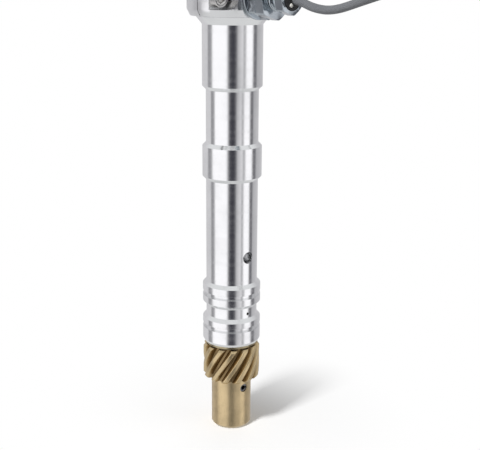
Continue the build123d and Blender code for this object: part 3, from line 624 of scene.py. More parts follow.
def finished(
    thing: Thing,
    finish,
    body: Body,
    stands_for: Sequence[str] = (),
    crease_deg: float = 40.0,
) -> Thing:
    """Dress an object, smooth it and hand it to the frame.

    Args:
        thing: the object, already in its place.
        finish: what it is made of.
        body: the body that it rides on.
        stands_for: the CAD nodes that it replaces.
        crease_deg: the turn from which an edge stays crisp.

    Returns:
        The object.
    """
    thing.data.materials.clear()
    thing.data.materials.append(material_of(finish))
    for face in thing.data.polygons:
        face.use_smooth = True
        face.material_index = 0
    thing.data.set_sharp_from_angle(angle=math.radians(crease_deg))
    thing.modifiers.new("even_shine", "WEIGHTED_NORMAL").keep_sharp = True
    settle_modifiers(thing)
    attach(thing, body.value)
    if stands_for:
        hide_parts(*stands_for)
    LOG.info("%s: %d faces on %s", thing.name, len(thing.data.polygons), body.value)
    return thing


def copied(node: str) -> Shape:
    """Return a copy of a CAD node's shape, with its flat faces whole."""
    shape = bmesh.new()
    shape.from_mesh(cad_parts[node].data)
    bmesh.ops.remove_doubles(shape, verts=shape.verts, dist=1e-6)
    bmesh.ops.dissolve_limit(
        shape,
        angle_limit=math.radians(1.0),
        verts=shape.verts,
        edges=shape.edges,
        use_dissolve_boundaries=False,
    )
    return shape


def carried_over(
    node: str,
    name: str,
    finish,
    body: Body,
    width: float = 0.2,
    angle_deg: float = 35.0,
    reshape: Callable[[Shape], None] = lambda shape: None,
) -> Thing:
    """Make a finished copy of a CAD node, with its edges rounded, that stands for the node.

    Args:
        node: the CAD node.
        name: the new piece's name.
        finish: what it is made of.
        body: the body that it rides on.
        width: the edges' rounding in millimetres.
        angle_deg: the turn from which an edge counts as sharp.
        reshape: what changes in the copy before its edges are rounded.

    Returns:
        The piece.
    """
    shape = copied(node)
    reshape(shape)
    thing = new_object(name, shape)
    rounded_edges(thing, width, angle_deg)
    return finished(thing, finish, body, [node])


def carry_all(body: Body, *rows: Tuple[str, str, object, float]) -> List[Thing]:
    """Carry over several CAD nodes on one body; a row is a node, a name, a finish and a rounding."""
    return [carried_over(node, name, finish, body, width) for node, name, finish, width in rows]


def dressed(node: str, finish) -> None:
    """Give a CAD node that keeps its own shape its finish."""
    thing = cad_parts[node]
    for place in thing.material_slots:
        place.material = material_of(finish)
    LOG.info("%s: kept, in %s", node, finish.name)


# ---------------------------------------------------------------- geometry nodes
class Jig(NodeSheet):
    """A Geometry Nodes tree that ends in Realize Instances and Set Material, with named inputs."""

    def __init__(self, name: str) -> None:
        """Start a tree of that name."""
        super().__init__(bpy.data.node_groups.new(name, "GeometryNodeTree"))
        self.tree.interface.new_socket("Geometry", in_out="OUTPUT", socket_type="NodeSocketGeometry")
        self.inputs = self.add("NodeGroupInput")
        self.end = self.add("NodeGroupOutput")
        self.names: Dict[str, str] = {}

    def ask(self, name: str, kind: str) -> Socket:
        """Add a named input of a kind such as Float, Int, Object or Material, and return its socket."""
        item = self.tree.interface.new_socket(name, in_out="INPUT", socket_type="NodeSocket" + kind)
        self.names[name] = item.identifier
        return next(s for s in self.inputs.outputs if s.identifier == item.identifier)

    def make(self, kind: str, output: str = "", **links) -> Socket:
        """Add a node and return one of its outputs.

        Args:
            kind: the node's type.
            output: the output's name, or nothing for the first.
            links: what goes into each input, by its name with _ for a space.

        Returns:
            The output socket.
        """
        node = self.add(kind)
        for name, value in links.items():
            self.feed(value, node.inputs[name.replace("_", " ")])
        return node.outputs[output] if output else node.outputs[0]

    def choose(self, test: Socket, no, yes) -> Socket:
        """Return one of two numbers by a value that is 0 or 1."""
        difference = self.maths("SUBTRACT", yes, no)
        return self.maths("ADD", no, self.maths("MULTIPLY", test, difference))

    def close(self, geometry: Socket) -> None:
        """End the tree: make the copies real and give them their material."""
        real = self.make("GeometryNodeRealizeInstances", Geometry=geometry)
        finish = self.ask("Finish", "Material")
        self.join(self.make("GeometryNodeSetMaterial", Geometry=real, Material=finish), self.end.inputs[0])

    def run(self, name: str, **values) -> Thing:
        """Build one piece.

        Args:
            name: the piece's name.
            values: each named input's value, with _ for a space.

        Returns:
            The piece, as a plain mesh with no modifier.
        """
        thing = new_object(name, bmesh.new())
        step = thing.modifiers.new("jig", "NODES")
        step.node_group = self.tree
        for label, value in values.items():
            step[self.names[label.replace("_", " ")]] = value
        settle_modifiers(thing)
        return thing


@functools.lru_cache(maxsize=None)
def ring_jig() -> Jig:
    """Return the tree that sets copies of a part round the Z axis, each turned with its place."""
    jig = Jig("ring_of_parts")
    part, count = jig.ask("Part", "Object"), jig.ask("Count", "Int")
    radius, height, start = (jig.ask(name, "Float") for name in ("Radius", "Height", "Start"))
    points = jig.make("GeometryNodeMeshCircle", Vertices=count, Radius=radius)
    index = jig.make("GeometryNodeInputIndex")
    turn = jig.maths("DIVIDE", jig.maths("MULTIPLY", index, 2 * math.pi), count)
    heading = jig.make("ShaderNodeCombineXYZ", Z=turn)
    copies = jig.make(
        "GeometryNodeInstanceOnPoints",
        Points=points,
        Instance=jig.make("GeometryNodeObjectInfo", "Geometry", Object=part),
        Rotation=heading,
    )
    lift = jig.make("ShaderNodeCombineXYZ", Z=height)
    spin = jig.make("ShaderNodeCombineXYZ", Z=start)
    jig.close(jig.make("GeometryNodeTransform", Geometry=copies, Translation=lift, Rotation=spin))
    return jig


def ring_of(
    name: str, part: Shape, count: int, radius: float, height: float, start_deg: float, finish
) -> Thing:
    """Set copies of a part round the Z axis.

    Args:
        name: the piece's name.
        part: the part, about its own Z axis.
        count: how many there are.
        radius: the circle's radius in millimetres.
        height: the circle's height in millimetres.
        start_deg: where the first one is.
        finish: what they are made of.

    Returns:
        The piece.
    """
    pattern = new_object("pattern", part)
    thing = ring_jig().run(
        name,
        Part=pattern,
        Count=count,
        Radius=radius * MM,
        Height=height * MM,
        Start=math.radians(start_deg),
        Finish=material_of(finish),
    )
    discard(pattern)
    return thing


@functools.lru_cache(maxsize=None)
def thread_jig() -> Jig:
    """Return the tree that winds a screw thread's ridge about the Z axis."""
    jig = Jig("thread_ridge")
    radius, pitch, length, low = (jig.ask(name, "Float") for name in ("Radius", "Pitch", "Length", "Low"))
    ridge = jig.ask("Ridge", "Float")
    turns = jig.maths("DIVIDE", length, pitch)
    spiral = jig.make(
        "GeometryNodeCurveSpiral",
        Resolution=48,
        Rotations=turns,
        Start_Radius=radius,
        End_Radius=radius,
        Height=length,
    )
    section = jig.make("GeometryNodeCurvePrimitiveCircle", "Curve", Resolution=6, Radius=ridge)
    wound = jig.make("GeometryNodeCurveToMesh", Curve=spiral, Profile_Curve=section, Fill_Caps=True)
    lift = jig.make("ShaderNodeCombineXYZ", Z=low)
    jig.close(jig.make("GeometryNodeTransform", Geometry=wound, Translation=lift))
    return jig


@dataclass(frozen=True)
class Thread:
    """The ridge of a screw thread along X, in millimetres from its axis' own zero."""

    name: str
    radius: float
    pitch: float
    low: float
    length: float
    ridge: float

    def build(self, place: Matrix, finish, slot: str) -> None:
        """Wind the ridge, lay it in its place on the bowl and finish it."""
        thing = thread_jig().run(
            self.name,
            Radius=self.radius * MM,
            Pitch=self.pitch * MM,
            Length=self.length * MM,
            Low=self.low * MM,
            Ridge=self.ridge * MM,
            Finish=material_of(finish),
        )
        thing.data.transform(place)
        finished(thing, finish, Body.BOWL)


@functools.lru_cache(maxsize=None)
def gear_jig() -> Jig:
    """Return the tree of a helical gear: a grid rolled up about Z, its rows from bore to teeth to bore."""
    jig = Jig("helical_gear")
    maths = jig.maths
    teeth, steps, rows = (jig.ask(name, "Int") for name in ("Teeth", "Steps", "Rows"))
    bore, root, tip, low, face, twist, bevel = (
        jig.ask(name, "Float") for name in ("Bore", "Root", "Tip", "Low", "Face", "Twist", "Bevel")
    )
    tip_share, root_share = jig.ask("Tip share", "Float"), jig.ask("Root share", "Float")
    around = maths("MULTIPLY", teeth, steps)
    up = maths("ADD", rows, 2.0)
    grid = jig.make(
        "GeometryNodeMeshGrid",
        "Mesh",
        Size_X=around,
        Size_Y=up,
        Vertices_X=maths("ADD", around, 1.0),
        Vertices_Y=maths("ADD", up, 1.0),
    )
    x, y, _ = jig.split(jig.make("GeometryNodeInputPosition"))
    i = maths("ROUND", maths("ADD", x, maths("DIVIDE", around, 2.0)))
    j = maths("ROUND", maths("ADD", y, maths("DIVIDE", up, 2.0)))
    # row 0 and the last row are the bore's two edges; rows 1 to rows + 1 run up the teeth
    is_first = maths("LESS_THAN", j, 0.5)
    is_last = maths("GREATER_THAN", j, maths("SUBTRACT", up, 0.5))
    in_bore = maths("ADD", is_first, is_last)
    share_up = maths("DIVIDE", maths("SUBTRACT", j, 1.0), rows)
    rise = maths("MINIMUM", maths("MAXIMUM", share_up, 0.0), 1.0)
    height = maths("MULTIPLY", rise, face)
    turn = jig.maths(
        "ADD", maths("DIVIDE", maths("MULTIPLY", i, 2 * math.pi), around), maths("MULTIPLY", rise, twist)
    )
    phase = maths("FRACT", maths("ADD", maths("DIVIDE", i, steps), 0.5))
    share = maths("MULTIPLY", maths("ABSOLUTE", maths("SUBTRACT", phase, 0.5)), 2.0)
    reach = jig.spread(share, tip_share, root_share, tip, root)
    end = maths("MINIMUM", height, maths("SUBTRACT", face, height))
    limit = maths("ADD", maths("SUBTRACT", tip, bevel), end)
    reach = maths("MINIMUM", reach, limit)
    radius = jig.choose(in_bore, reach, bore)
    place = jig.make(
        "ShaderNodeCombineXYZ",
        X=maths("MULTIPLY", radius, maths("COSINE", turn)),
        Y=maths("MULTIPLY", radius, maths("SINE", turn)),
        Z=maths("ADD", low, height),
    )
    rolled = jig.make("GeometryNodeSetPosition", Geometry=grid, Position=place)
    jig.close(jig.make("GeometryNodeMergeByDistance", Geometry=rolled, Distance=WELD_REACH))
    return jig


# ---------------------------------------------------------------- sub-assemblies
@dataclass
class Studio:
    """The camera, the pale floor, the soft lamps and the surround that metal reflects."""

    camera_place: Point = (0.3834, -0.3158, 0.25634)
    camera_azimuth_deg: float = 50.0
    camera_elevation_deg: float = 15.465
    camera_roll_deg: float = 0.36
    lens: float = 69.64
    sensor_width: float = 36.0
    sight: Pair = (0.01, 60.0)
    floor_reach: float = 12.0
    floor_drop: float = 0.0003
    floor_tone: float = 0.88
    floor_fade: Pair = (0.0, 0.115)
    ambient: float = 0.15
    lamp_reach: float = 1.3
    lamp_aim_z: float = 0.15
    lamps: Tuple[Tuple[str, float, float, float, float], ...] = (
        ("key_lamp", -40.0, 46.0, 18.4, 0.2),
        ("fill_lamp", 75.0, 38.0, 1.4, 0.9),
        ("back_lamp", 170.0, 45.0, 1.4, 0.9),
    )
    overhead: Colour = (0.82, 0.83, 0.84)
    underfoot: Colour = (0.74, 0.745, 0.75)
    overhead_rise: Pair = (0.3, 0.75)
    underfoot_rise: Pair = (-0.62, -0.46)
    surround: Tuple[Pair, ...] = (
        (-180, 0.62), (-135, 0.68), (-108, 0.7), (-103, 0.3), (-95, 0.34), (-86, 0.4),
        (-78, 1.15), (-22, 1.14),
        (-14, 0.3), (-8, 0.07), (7, 0.05), (15, 0.14), (22, 0.55), (40, 0.8), (45, 0.42),
        (50, 0.5), (56, 1.14),
        (80, 1.14), (88, 0.2), (100, 0.16), (108, 0.5), (150, 0.6), (180, 0.62),
    )

    def facing(self) -> Tuple[Vector, Vector]:
        """Return the level directions to the camera and to its right."""
        turn = math.radians(self.camera_azimuth_deg)
        return Vector((math.sin(turn), -math.cos(turn), 0.0)), Vector((math.cos(turn), math.sin(turn), 0.0))

    def set_camera(self) -> None:
        """Place the camera and make it the scene's."""
        tilt, roll = math.radians(self.camera_elevation_deg), math.radians(self.camera_roll_deg)
        towards, right = self.facing()
        back = towards * math.cos(tilt) + Vector((0, 0, math.sin(tilt)))
        up = back.cross(right)
        side = right * math.cos(roll) + up * math.sin(roll)
        top = up * math.cos(roll) - right * math.sin(roll)
        lens = bpy.data.cameras.new("camera")
        lens.lens, lens.sensor_width, lens.sensor_fit = self.lens, self.sensor_width, "HORIZONTAL"
        lens.clip_start, lens.clip_end = self.sight
        camera = bpy.data.objects.new("camera", lens)
        facing = Matrix((side, top, back)).transposed().to_4x4()
        camera.matrix_world = Matrix.Translation(self.camera_place) @ facing
        bpy.context.scene.collection.objects.link(camera)
        bpy.context.scene.camera = camera

    def surround_group(self) -> bpy.types.NodeTree:
        """Return the node group that gives the studio's brightness in a direction, for metal to reflect."""
        tree = bpy.data.node_groups.new("studio_surround", "ShaderNodeTree")
        tree.interface.new_socket("Direction", in_out="INPUT", socket_type="NodeSocketVector")
        tree.interface.new_socket("Brightness", in_out="OUTPUT", socket_type="NodeSocketColor")
        sheet = NodeSheet(tree)
        start, end = sheet.add("NodeGroupInput"), sheet.add("NodeGroupOutput")
        parts = []
        for direction in reversed(self.facing()):
            dot = sheet.add("ShaderNodeVectorMath")
            dot.operation = "DOT_PRODUCT"
            dot.inputs[1].default_value = direction
            sheet.join(start.outputs[0], dot.inputs[0])
            parts.append(dot.outputs["Value"])
        bearing = sheet.maths("DEGREES", sheet.maths("ARCTAN2", *parts))
        ramp = sheet.add("ShaderNodeValToRGB")
        stops = ramp.color_ramp.elements
        while len(stops) > 1:
            stops.remove(stops[-1])
        for i, (angle, level) in enumerate(self.surround):
            stop = stops[0] if i == 0 else stops.new(0.5 + angle / 360)
            stop.position = 0.5 + angle / 360
            stop.color = (level, level * 0.99, level + 0.012, 1.0)
        sheet.join(sheet.maths("ADD", sheet.maths("DIVIDE", bearing, 360.0), 0.5), ramp.inputs["Fac"])
        height = sheet.split(start.outputs[0])[2]
        high = sheet.spread(height, *self.overhead_rise, 0.0, 1.0)
        shade = sheet.tint(high, ramp.outputs["Color"], self.overhead)
        shade = sheet.tint(sheet.spread(height, *self.underfoot_rise, 1.0, 0.0), shade, self.underfoot)
        sheet.join(shade, end.inputs[0])
        return tree

    def set_world(self) -> None:
        """Give the world its plain light, its white view and the surround for reflections."""
        world = bpy.data.worlds.new("studio")
        bpy.context.scene.world = world
        world.use_nodes = True
        surround = self.surround_group()
        sheet = NodeSheet(world.node_tree)
        rays, group = sheet.add("ShaderNodeLightPath").outputs, sheet.add("ShaderNodeGroup")
        group.node_tree = surround
        sheet.join(sheet.add("ShaderNodeTexCoord").outputs["Generated"], group.inputs[0])
        shiny = sheet.maths("MAXIMUM", rays["Is Glossy Ray"], rays["Is Transmission Ray"])
        lit = sheet.tint(shiny, (self.ambient,) * 3, group.outputs[0])
        background = sheet.add("ShaderNodeBackground")
        sheet.join(sheet.tint(rays["Is Camera Ray"], lit, WHITE), background.inputs["Color"])
        sheet.join(background.outputs[0], sheet.add("ShaderNodeOutputWorld").inputs["Surface"])

    def set_floor(self) -> None:
        """Lay the pale floor: it keeps the shadow and looks white to the camera further out."""
        shape = bmesh.new()
        bmesh.ops.create_grid(shape, x_segments=1, y_segments=1, size=self.floor_reach)
        floor = new_object("studio_floor", placed(shape, Matrix.Translation((0, 0, -self.floor_drop))))
        recipe = Recipe("pale_floor")
        seen = recipe.add("ShaderNodeLightPath").outputs["Is Camera Ray"]
        x, y, _ = recipe.split(recipe.place)
        far = recipe.maths("MULTIPLY", recipe.spread(recipe.distance(x, y), *self.floor_fade, 0.0, 1.0), seen)
        recipe.paint(recipe.tint(far, (self.floor_tone,) * 3, (0.0, 0.0, 0.0)), 0.9)
        recipe.plain(Specular_IOR_Level=0.0, Emission_Color=(*WHITE, 1.0))
        lift = recipe.maths("MULTIPLY", seen, 1.0 - self.floor_tone)
        glow = recipe.maths("ADD", lift, recipe.maths("MULTIPLY", far, self.floor_tone))
        recipe.feed(glow, recipe.shader.inputs["Emission Strength"])
        floor.data.materials.append(recipe.material)
        floor.visible_glossy = False

    def add_lamp(self, name: str, bearing_deg: float, height_deg: float, power: float, size: float) -> None:
        """Hang one square soft lamp that looks at the piece.

        Args:
            name: the lamp's name.
            bearing_deg: its bearing from the camera's side, positive to the camera's right.
            height_deg: how high it stands.
            power: its power in watts.
            size: its side in metres.
        """
        towards, right = self.facing()
        turn, rise = math.radians(bearing_deg), math.radians(height_deg)
        level = towards * math.cos(turn) + right * math.sin(turn)
        direction = level * math.cos(rise) + Vector((0, 0, math.sin(rise)))
        light = bpy.data.lights.new(name, "AREA")
        light.energy, light.size = power, size
        lamp = bpy.data.objects.new(name, light)
        spot = direction * self.lamp_reach + Vector((0, 0, self.lamp_aim_z))
        aim = direction.to_track_quat("Z", "Y").to_matrix().to_4x4()
        lamp.matrix_world = Matrix.Translation(spot) @ aim
        lamp.visible_glossy = False
        lamp.visible_camera = False
        bpy.context.scene.collection.objects.link(lamp)

    def build(self) -> None:
        """Set up the whole studio."""
        bpy.context.scene.view_settings.view_transform = "Standard"
        self.set_camera()
        self.set_world()
        self.set_floor()
        for lamp in self.lamps:
            self.add_lamp(*lamp)
        LOG.info("studio: camera, world, floor and %d lamps", len(self.lamps))


@dataclass
class Lead:
    """The grey lead: out of the gland, round the bowl's neck, tied to itself, and on to its plug."""

    diameter: float = 4.2
    length: float = 0.4825
    exit: Point = (45.6, 1.7, 241.8)
    way_out: Tuple[Point, ...] = (
        (39.0, 1.7, 241.8), (47.5, 1.7, 241.8), (58.5, 1.9, 238.0), (70.0, 3.8, 237.2), (83.0, 10.0, 242.3),
        (93.0, 21.0, 247.2), (97.0, 36.0, 250.8), (93.0, 52.0, 253.0), (81.0, 64.0, 254.2),
        (64.0, 70.5, 254.8),
        (45.0, 72.0, 255.2), (25.0, 68.0, 255.4), (6.0, 59.0, 255.5), (-10.0, 46.0, 255.5),
        (-21.5, 30.0, 255.5),
        (-27.5, 13.0, 255.5), (-28.3, 0.5, 255.5),
    )
    way_to_plug: Tuple[Point, ...] = (
        (-27.9, -4.9, 259.8), (-25.8, -17.5, 259.4), (-21.6, -30.5, 258.2), (-15.4, -42.5, 256.6),
    )
    coil_radius: float = 28.3
    coil_start_deg: float = 179.0
    coil_sweep_deg: float = 371.0
    coil_heights: Pair = (255.5, 259.8)
    coil_steps: int = 26

    def coil_points(self) -> List[Point]:
        """Return the control points of the turn round the bowl's neck."""
        low, high = self.coil_heights
        points = []
        for k in range(1, self.coil_steps):
            share = k / self.coil_steps
            turn = math.radians(self.coil_start_deg + self.coil_sweep_deg * share)
            height = low + (high - low) * share
            points.append((self.coil_radius * math.cos(turn), self.coil_radius * math.sin(turn), height))
        return points

    def build_cord(self) -> Thing:
        """Return the lead as one smooth curve."""
        points = list(self.way_out) + self.coil_points() + list(self.way_to_plug)
        line = bpy.data.curves.new("sensor_lead", "CURVE")
        line.dimensions = "3D"
        line.bevel_depth = self.diameter / 2 * MM
        line.bevel_resolution = 7
        line.resolution_u = 8
        line.use_fill_caps = True
        spline = line.splines.new("NURBS")
        spline.points.add(len(points) - 1)
        for spot, point in zip(spline.points, points):
            spot.co = (*(Vector(point) * MM), 1.0)
        spline.order_u = 3
        spline.use_endpoint_u = True
        lead = bpy.data.objects.new("sensor_lead", line)
        bpy.context.scene.collection.objects.link(lead)
        line.materials.append(material_of(CABLE_GREY))
        return lead

    def build(self) -> None:
        """Build the lead, its ties and its plug."""
        lead = self.build_cord()
        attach(lead, Body.BOWL.value)
        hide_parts("lead_tube", "lead_tail", "lead_coil")
        ties, plug, seal = carry_all(
            Body.BOWL,
            ("cable_ties", "lead_ties", TIE_NYLON, 0.25),
            ("lead_plug", "connector_shell", BLACK_NYLON, 0.4),
            ("plug_seal", "connector_seal", SEAL_RUBBER, 0.3),
        )
        dressed("plug_contacts", BRASS)
        LOG.info("sensor_lead: %.4f m", self.length)


@dataclass
class Shank:
    """The billet shank that goes into the engine block, with what is fixed inside it (millimetres)."""

    land_r: float = 16.15
    neck_r: float = 14.175
    lands: Tuple[Pair, ...] = ((53.6, 66.2), (75.9, 85.9), (147.5, 164.0), (196.2, 228.3))
    grooves: Tuple[float, ...] = (60.6, 79.7)
    groove_width: float = 2.4
    groove_depth: float = 1.7
    foot: Pair = (15.3, 52.0)
    seat_r: float = 19.6
    seat_z: float = 232.5
    spigot_r: float = 12.5
    spigot_top: float = 270.0
    bore_r: float = 7.2
    bush_r: float = 8.0
    bush_top: float = 79.5
    seal_r: float = 9.5
    seal_z: float = 254.0
    bearing_r: float = 10.5
    bearing_z: float = 261.0
    clip_r: float = 11.1
    clip_z: Pair = (266.0, 267.0)
    groove_edge: float = 0.12
    land_edge: float = 0.22
    neck_fillet: float = 0.35
    seat_edge: float = 0.4
    drill_reach: float = 20.0
    vent: Pair = (3.25, 103.2)
    oil_hole: Pair = (0.8, 70.6)

    def outline(self) -> List[Tuple[float, ...]]:
        """Return the shank's outline, up its outside and down its bore."""
        step = self.land_r - self.neck_r
        points: List[Tuple[float, ...]] = [(self.bush_r, self.foot[1]), (*self.foot, 0.15)]
        for i, (low, high) in enumerate(self.lands):
            if i:
                points += [(self.neck_r, low - step, self.neck_fillet), (self.land_r, low, self.land_edge)]
            else:
                points.append((self.land_r, low, 0.3))
            for groove in (g for g in self.grooves if low < g < high):
                deep, end = self.land_r - self.groove_depth, groove + self.groove_width
                for spot in ((self.land_r, groove), (deep, groove), (deep, end), (self.land_r, end)):
                    points.append((*spot, self.groove_edge))
            points.append((self.land_r, high, self.land_edge))
            if i < len(self.lands) - 1:
                points.append((self.neck_r, high + step, self.neck_fillet))
        clip_low, clip_high = self.clip_z
        points += [(self.seat_r, self.seat_z, self.seat_edge), (self.spigot_r, self.seat_z)]
        points += [(self.spigot_r, self.spigot_top - 1), (self.spigot_r - 1, self.spigot_top)]
        points += [(self.bearing_r, self.spigot_top), (self.bearing_r, clip_high, 0)]
        points += [(self.clip_r, clip_high, 0), (self.clip_r, clip_low, 0), (self.bearing_r, clip_low, 0)]
        points += [(self.bearing_r, self.bearing_z), (self.seal_r, self.bearing_z)]
        points += [(self.seal_r, self.seal_z), (self.bore_r, self.seal_z)]
        points += [(self.bore_r, self.bush_top), (self.bush_r, self.bush_top)]
        return points

    def build_body(self) -> None:
        """Turn the shank and drill its two cross holes."""
        body = new_object("shank_turning", turned(self.outline(), 0.15, 192))
        for radius, height in (self.vent, self.oil_hole):
            drill(body, placed(rod(radius, -1, self.drill_reach), along_x(0, 0, height)))
        finished(body, BILLET, Body.HOUSING, ["shank_housing"], crease_deg=32)

    def build(self) -> None:
        """Build the shank and dress what is fixed in it."""
        self.build_body()
        dressed("lower_bush", BUSH_BRONZE)
        dressed("shaft_seal", SEAL_RUBBER)
        dressed("bearing_outer_race", RACE_STEEL)
        carried_over("bearing_circlip", "circlip", SPRING_STEEL, Body.HOUSING, 0.15)


@dataclass
class Bearing:
    """The ball bearing's turning parts at the top of the shank (millimetres)."""

    pitch_r: float = 8.25
    ball_r: float = 1.15
    count: int = 11
    height: float = 263.5

    def build(self) -> None:
        """Build the balls and dress the cage and the inner race."""
        ball = bmesh.new()
        bmesh.ops.create_icosphere(ball, subdivisions=3, radius=self.ball_r * MM)
        balls = ring_of("balls", ball, self.count, self.pitch_r, self.height, 0.0, RACE_STEEL)
        finished(balls, RACE_STEEL, Body.CAGE, ["bearing_balls"])
        carried_over("bearing_cage", "ball_cage", BRASS, Body.CAGE, 0.08)
        dressed("bearing_inner_race", RACE_STEEL)


@dataclass
class DriveGear:
    """The bronze drive gear, its hub and the roll pin that holds it to the shaft (millimetres)."""

    teeth: int = 13
    tip_r: float = 16.0
    root_r: float = 12.6
    low: float = 29.6
    face: float = 20.0
    helix_deg: float = 35.0
    end_bevel: float = 1.3
    tip_share: float = 0.3
    root_share: float = 0.78
    steps: int = 26
    rows: int = 46
    bore_r: float = 6.2
    hub_r: float = 11.3
    hub_edge: float = 1.2
    pin_r: float = 2.4
    pin_z: float = 24.4

    def build_teeth(self) -> Thing:
        """Return the toothed part."""
        lead_length = 2 * math.pi * self.tip_r / math.tan(math.radians(self.helix_deg))
        return gear_jig().run(
            "drive_teeth",
            Teeth=self.teeth,
            Steps=self.steps,
            Rows=self.rows,
            Bore=self.bore_r * MM,
            Root=self.root_r * MM,
            Tip=self.tip_r * MM,
            Low=self.low * MM,
            Face=self.face * MM,
            Twist=2 * math.pi * self.face / lead_length,
            Bevel=self.end_bevel * MM,
            Tip_share=self.tip_share,
            Root_share=self.root_share,
            Finish=material_of(GEAR_BRONZE),
        )

    def build_hub(self) -> Thing:
        """Return the long hub below the teeth, cross-drilled for its pin."""
        outline = [
            (self.bore_r, 0, 0.3),
            (self.hub_r - self.hub_edge, 0, 0.3),
            (self.hub_r, self.hub_edge, 0.3),
            (self.hub_r, self.low, 0.05),
            (self.bore_r, self.low, 0.05),
        ]
        hub = new_object("drive_hub", turned(outline, 0.2, 128))
        reach = self.hub_r + 2
        drill(hub, placed(rod(self.pin_r, -reach, reach), along_x(0, 0, self.pin_z)))
        return hub

    def build(self) -> None:
        """Build the gear and the pin."""
        teeth = self.build_teeth()
        shape = bmesh.new()
        shape.from_mesh(teeth.data)
        bmesh.ops.recalc_face_normals(shape, faces=shape.faces)
        shape.to_mesh(teeth.data)
        shape.free()
        rounded_edges(teeth, 0.16, 42)
        finished(teeth, GEAR_BRONZE, Body.SHAFT, ["drive_gear"])
        hub = self.build_hub()
        finished(hub, GEAR_BRONZE, Body.SHAFT, crease_deg=32)
        carried_over("roll_pin", "spring_pin", SPRING_STEEL, Body.SHAFT, 0.2)


@dataclass
class ShaftGroup:
    """The steel shaft and the thrust pieces, trigger wheel and rotor that turn with it (millimetres)."""

    shim: Tuple[float, float, float, float] = (6.3, 12.4, 49.7, 50.4)
    washer: Tuple[float, float, float, float] = (6.3, 14.5, 50.5, 51.9)

    def build_ring(self, name: str, node: str, sizes: Tuple[float, float, float, float], finish) -> None:
        """Turn one thrust ring."""
        bore, outer, low, high = sizes
        outline = [(bore, low), (outer, low), (outer, high), (bore, high)]
        finished(new_object(name, turned(outline, 0.12, 128)), finish, Body.SHAFT, [node])

    def build(self) -> None:
        """Build the group."""
        self.build_ring("shim_ring", "thrust_shim", self.shim, GROUND_STEEL)
        self.build_ring("thrust_ring", "thrust_washer", self.washer, WASHER_BRONZE)
        carry_all(
            Body.SHAFT,
            ("shaft", "steel_shaft", GROUND_STEEL, 0.25),
            ("trigger_wheel", "vane_wheel", STAINLESS, 0.2),
            ("trigger_screw", "wheel_grub", SPRING_STEEL, 0.12),
            ("rotor", "rotor_arm", ROTOR_MOULDING, 0.5),
            ("rotor_blade", "rotor_contact", BRASS, 0.25),
        )


@dataclass
class Gland:
    """The cable gland: washer, lock nut, threaded body, clamp nut and the sealing insert (millimetres)."""

    height: float = 241.8
    seat_x: float = 20.0
    thread_r: float = 6.0
    washer_r: float = 10.8
    washer_t: float = 2.0
    lock_turn_deg: float = 8.0
    turn_deg: float = 13.0
    nut_af: float = 19.0
    lock_nut_h: float = 5.6
    collar_h: float = 6.4
    neck_end: float = 44.0
    bore_r: float = 3.4
    insert_r: float = 5.1
    insert_start: float = 37.6
    clamp_af: float = 14.0
    clamp_x: Pair = (40.2, 45.6)
    thread_pitch: float = 1.25
    body_start: float = 16.6
    thread_depth: float = 0.45
    ridge_r: float = 0.48

    def lay(self, shape: Shape, name: str, turn_deg: float = 0.0) -> Thing:
        """Turn a shape that was made about Z so that it points along +X at the gland's height."""
        return new_object(name, placed(shape, along_x(0, 0, self.height, turn_deg)))

    def build(self) -> None:
        """Build the gland, piece by piece, from the bowl outwards."""
        x = self.seat_x
        end = x + self.washer_t
        washer = [
            (self.thread_r, x), (self.washer_r, x, 0.5), (self.washer_r, end, 0.5), (self.thread_r, end),
        ]
        finished(self.lay(turned(washer, 0.3, 128), "sealing_washer"), ZINC, Body.BOWL, ["gland_washer"])
        nut = Hexagon(self.nut_af, end, end + self.lock_nut_h, self.thread_r)
        lock_nut = self.lay(nut.shape(), "lock_nut", self.lock_turn_deg)
        finished(lock_nut, ZINC, Body.BOWL, ["gland_lock_nut"], crease_deg=30)
        end += self.lock_nut_h
        self.build_threaded_body(end, end + self.collar_h)
        clamp = Hexagon(self.clamp_af, *self.clamp_x, self.insert_r, 0.7, 0.9)
        clamp_nut = self.lay(clamp.shape(), "clamp_nut", self.turn_deg)
        finished(clamp_nut, ZINC, Body.BOWL, ["gland_clamp_nut"], crease_deg=30)
        carry_all(
            Body.BOWL,
            ("gland_seal", "cable_insert", SEAL_RUBBER, 0.25),
            ("blanking_pin", "blank_pin", WHITE_NYLON, 0.1),
        )

    def build_threaded_body(self, low: float, high: float) -> None:
        """Build the body: its hexagonal collar, and the threaded tube that runs through everything."""
        core = self.thread_r - self.thread_depth
        collar = Hexagon(self.nut_af, low, high, core - 0.2)
        tube = [
            (self.bore_r, self.body_start), (core, self.body_start, 0.3), (core, self.neck_end, 0.3),
            (self.insert_r, self.neck_end), (self.insert_r, self.insert_start),
            (self.bore_r, self.insert_start),
        ]
        body = self.lay(joined(collar.shape(), turned(tube, 0.12, 96)), "gland_core", self.turn_deg)
        finished(body, ZINC, Body.BOWL, ["gland_body"], crease_deg=30)
        length = self.neck_end - high - 0.6
        ridge = Thread("gland_thread", core - 0.05, self.thread_pitch, high + 0.2, length, self.ridge_r)
        ridge.build(along_x(0, 0, self.height), ZINC, "zinc")


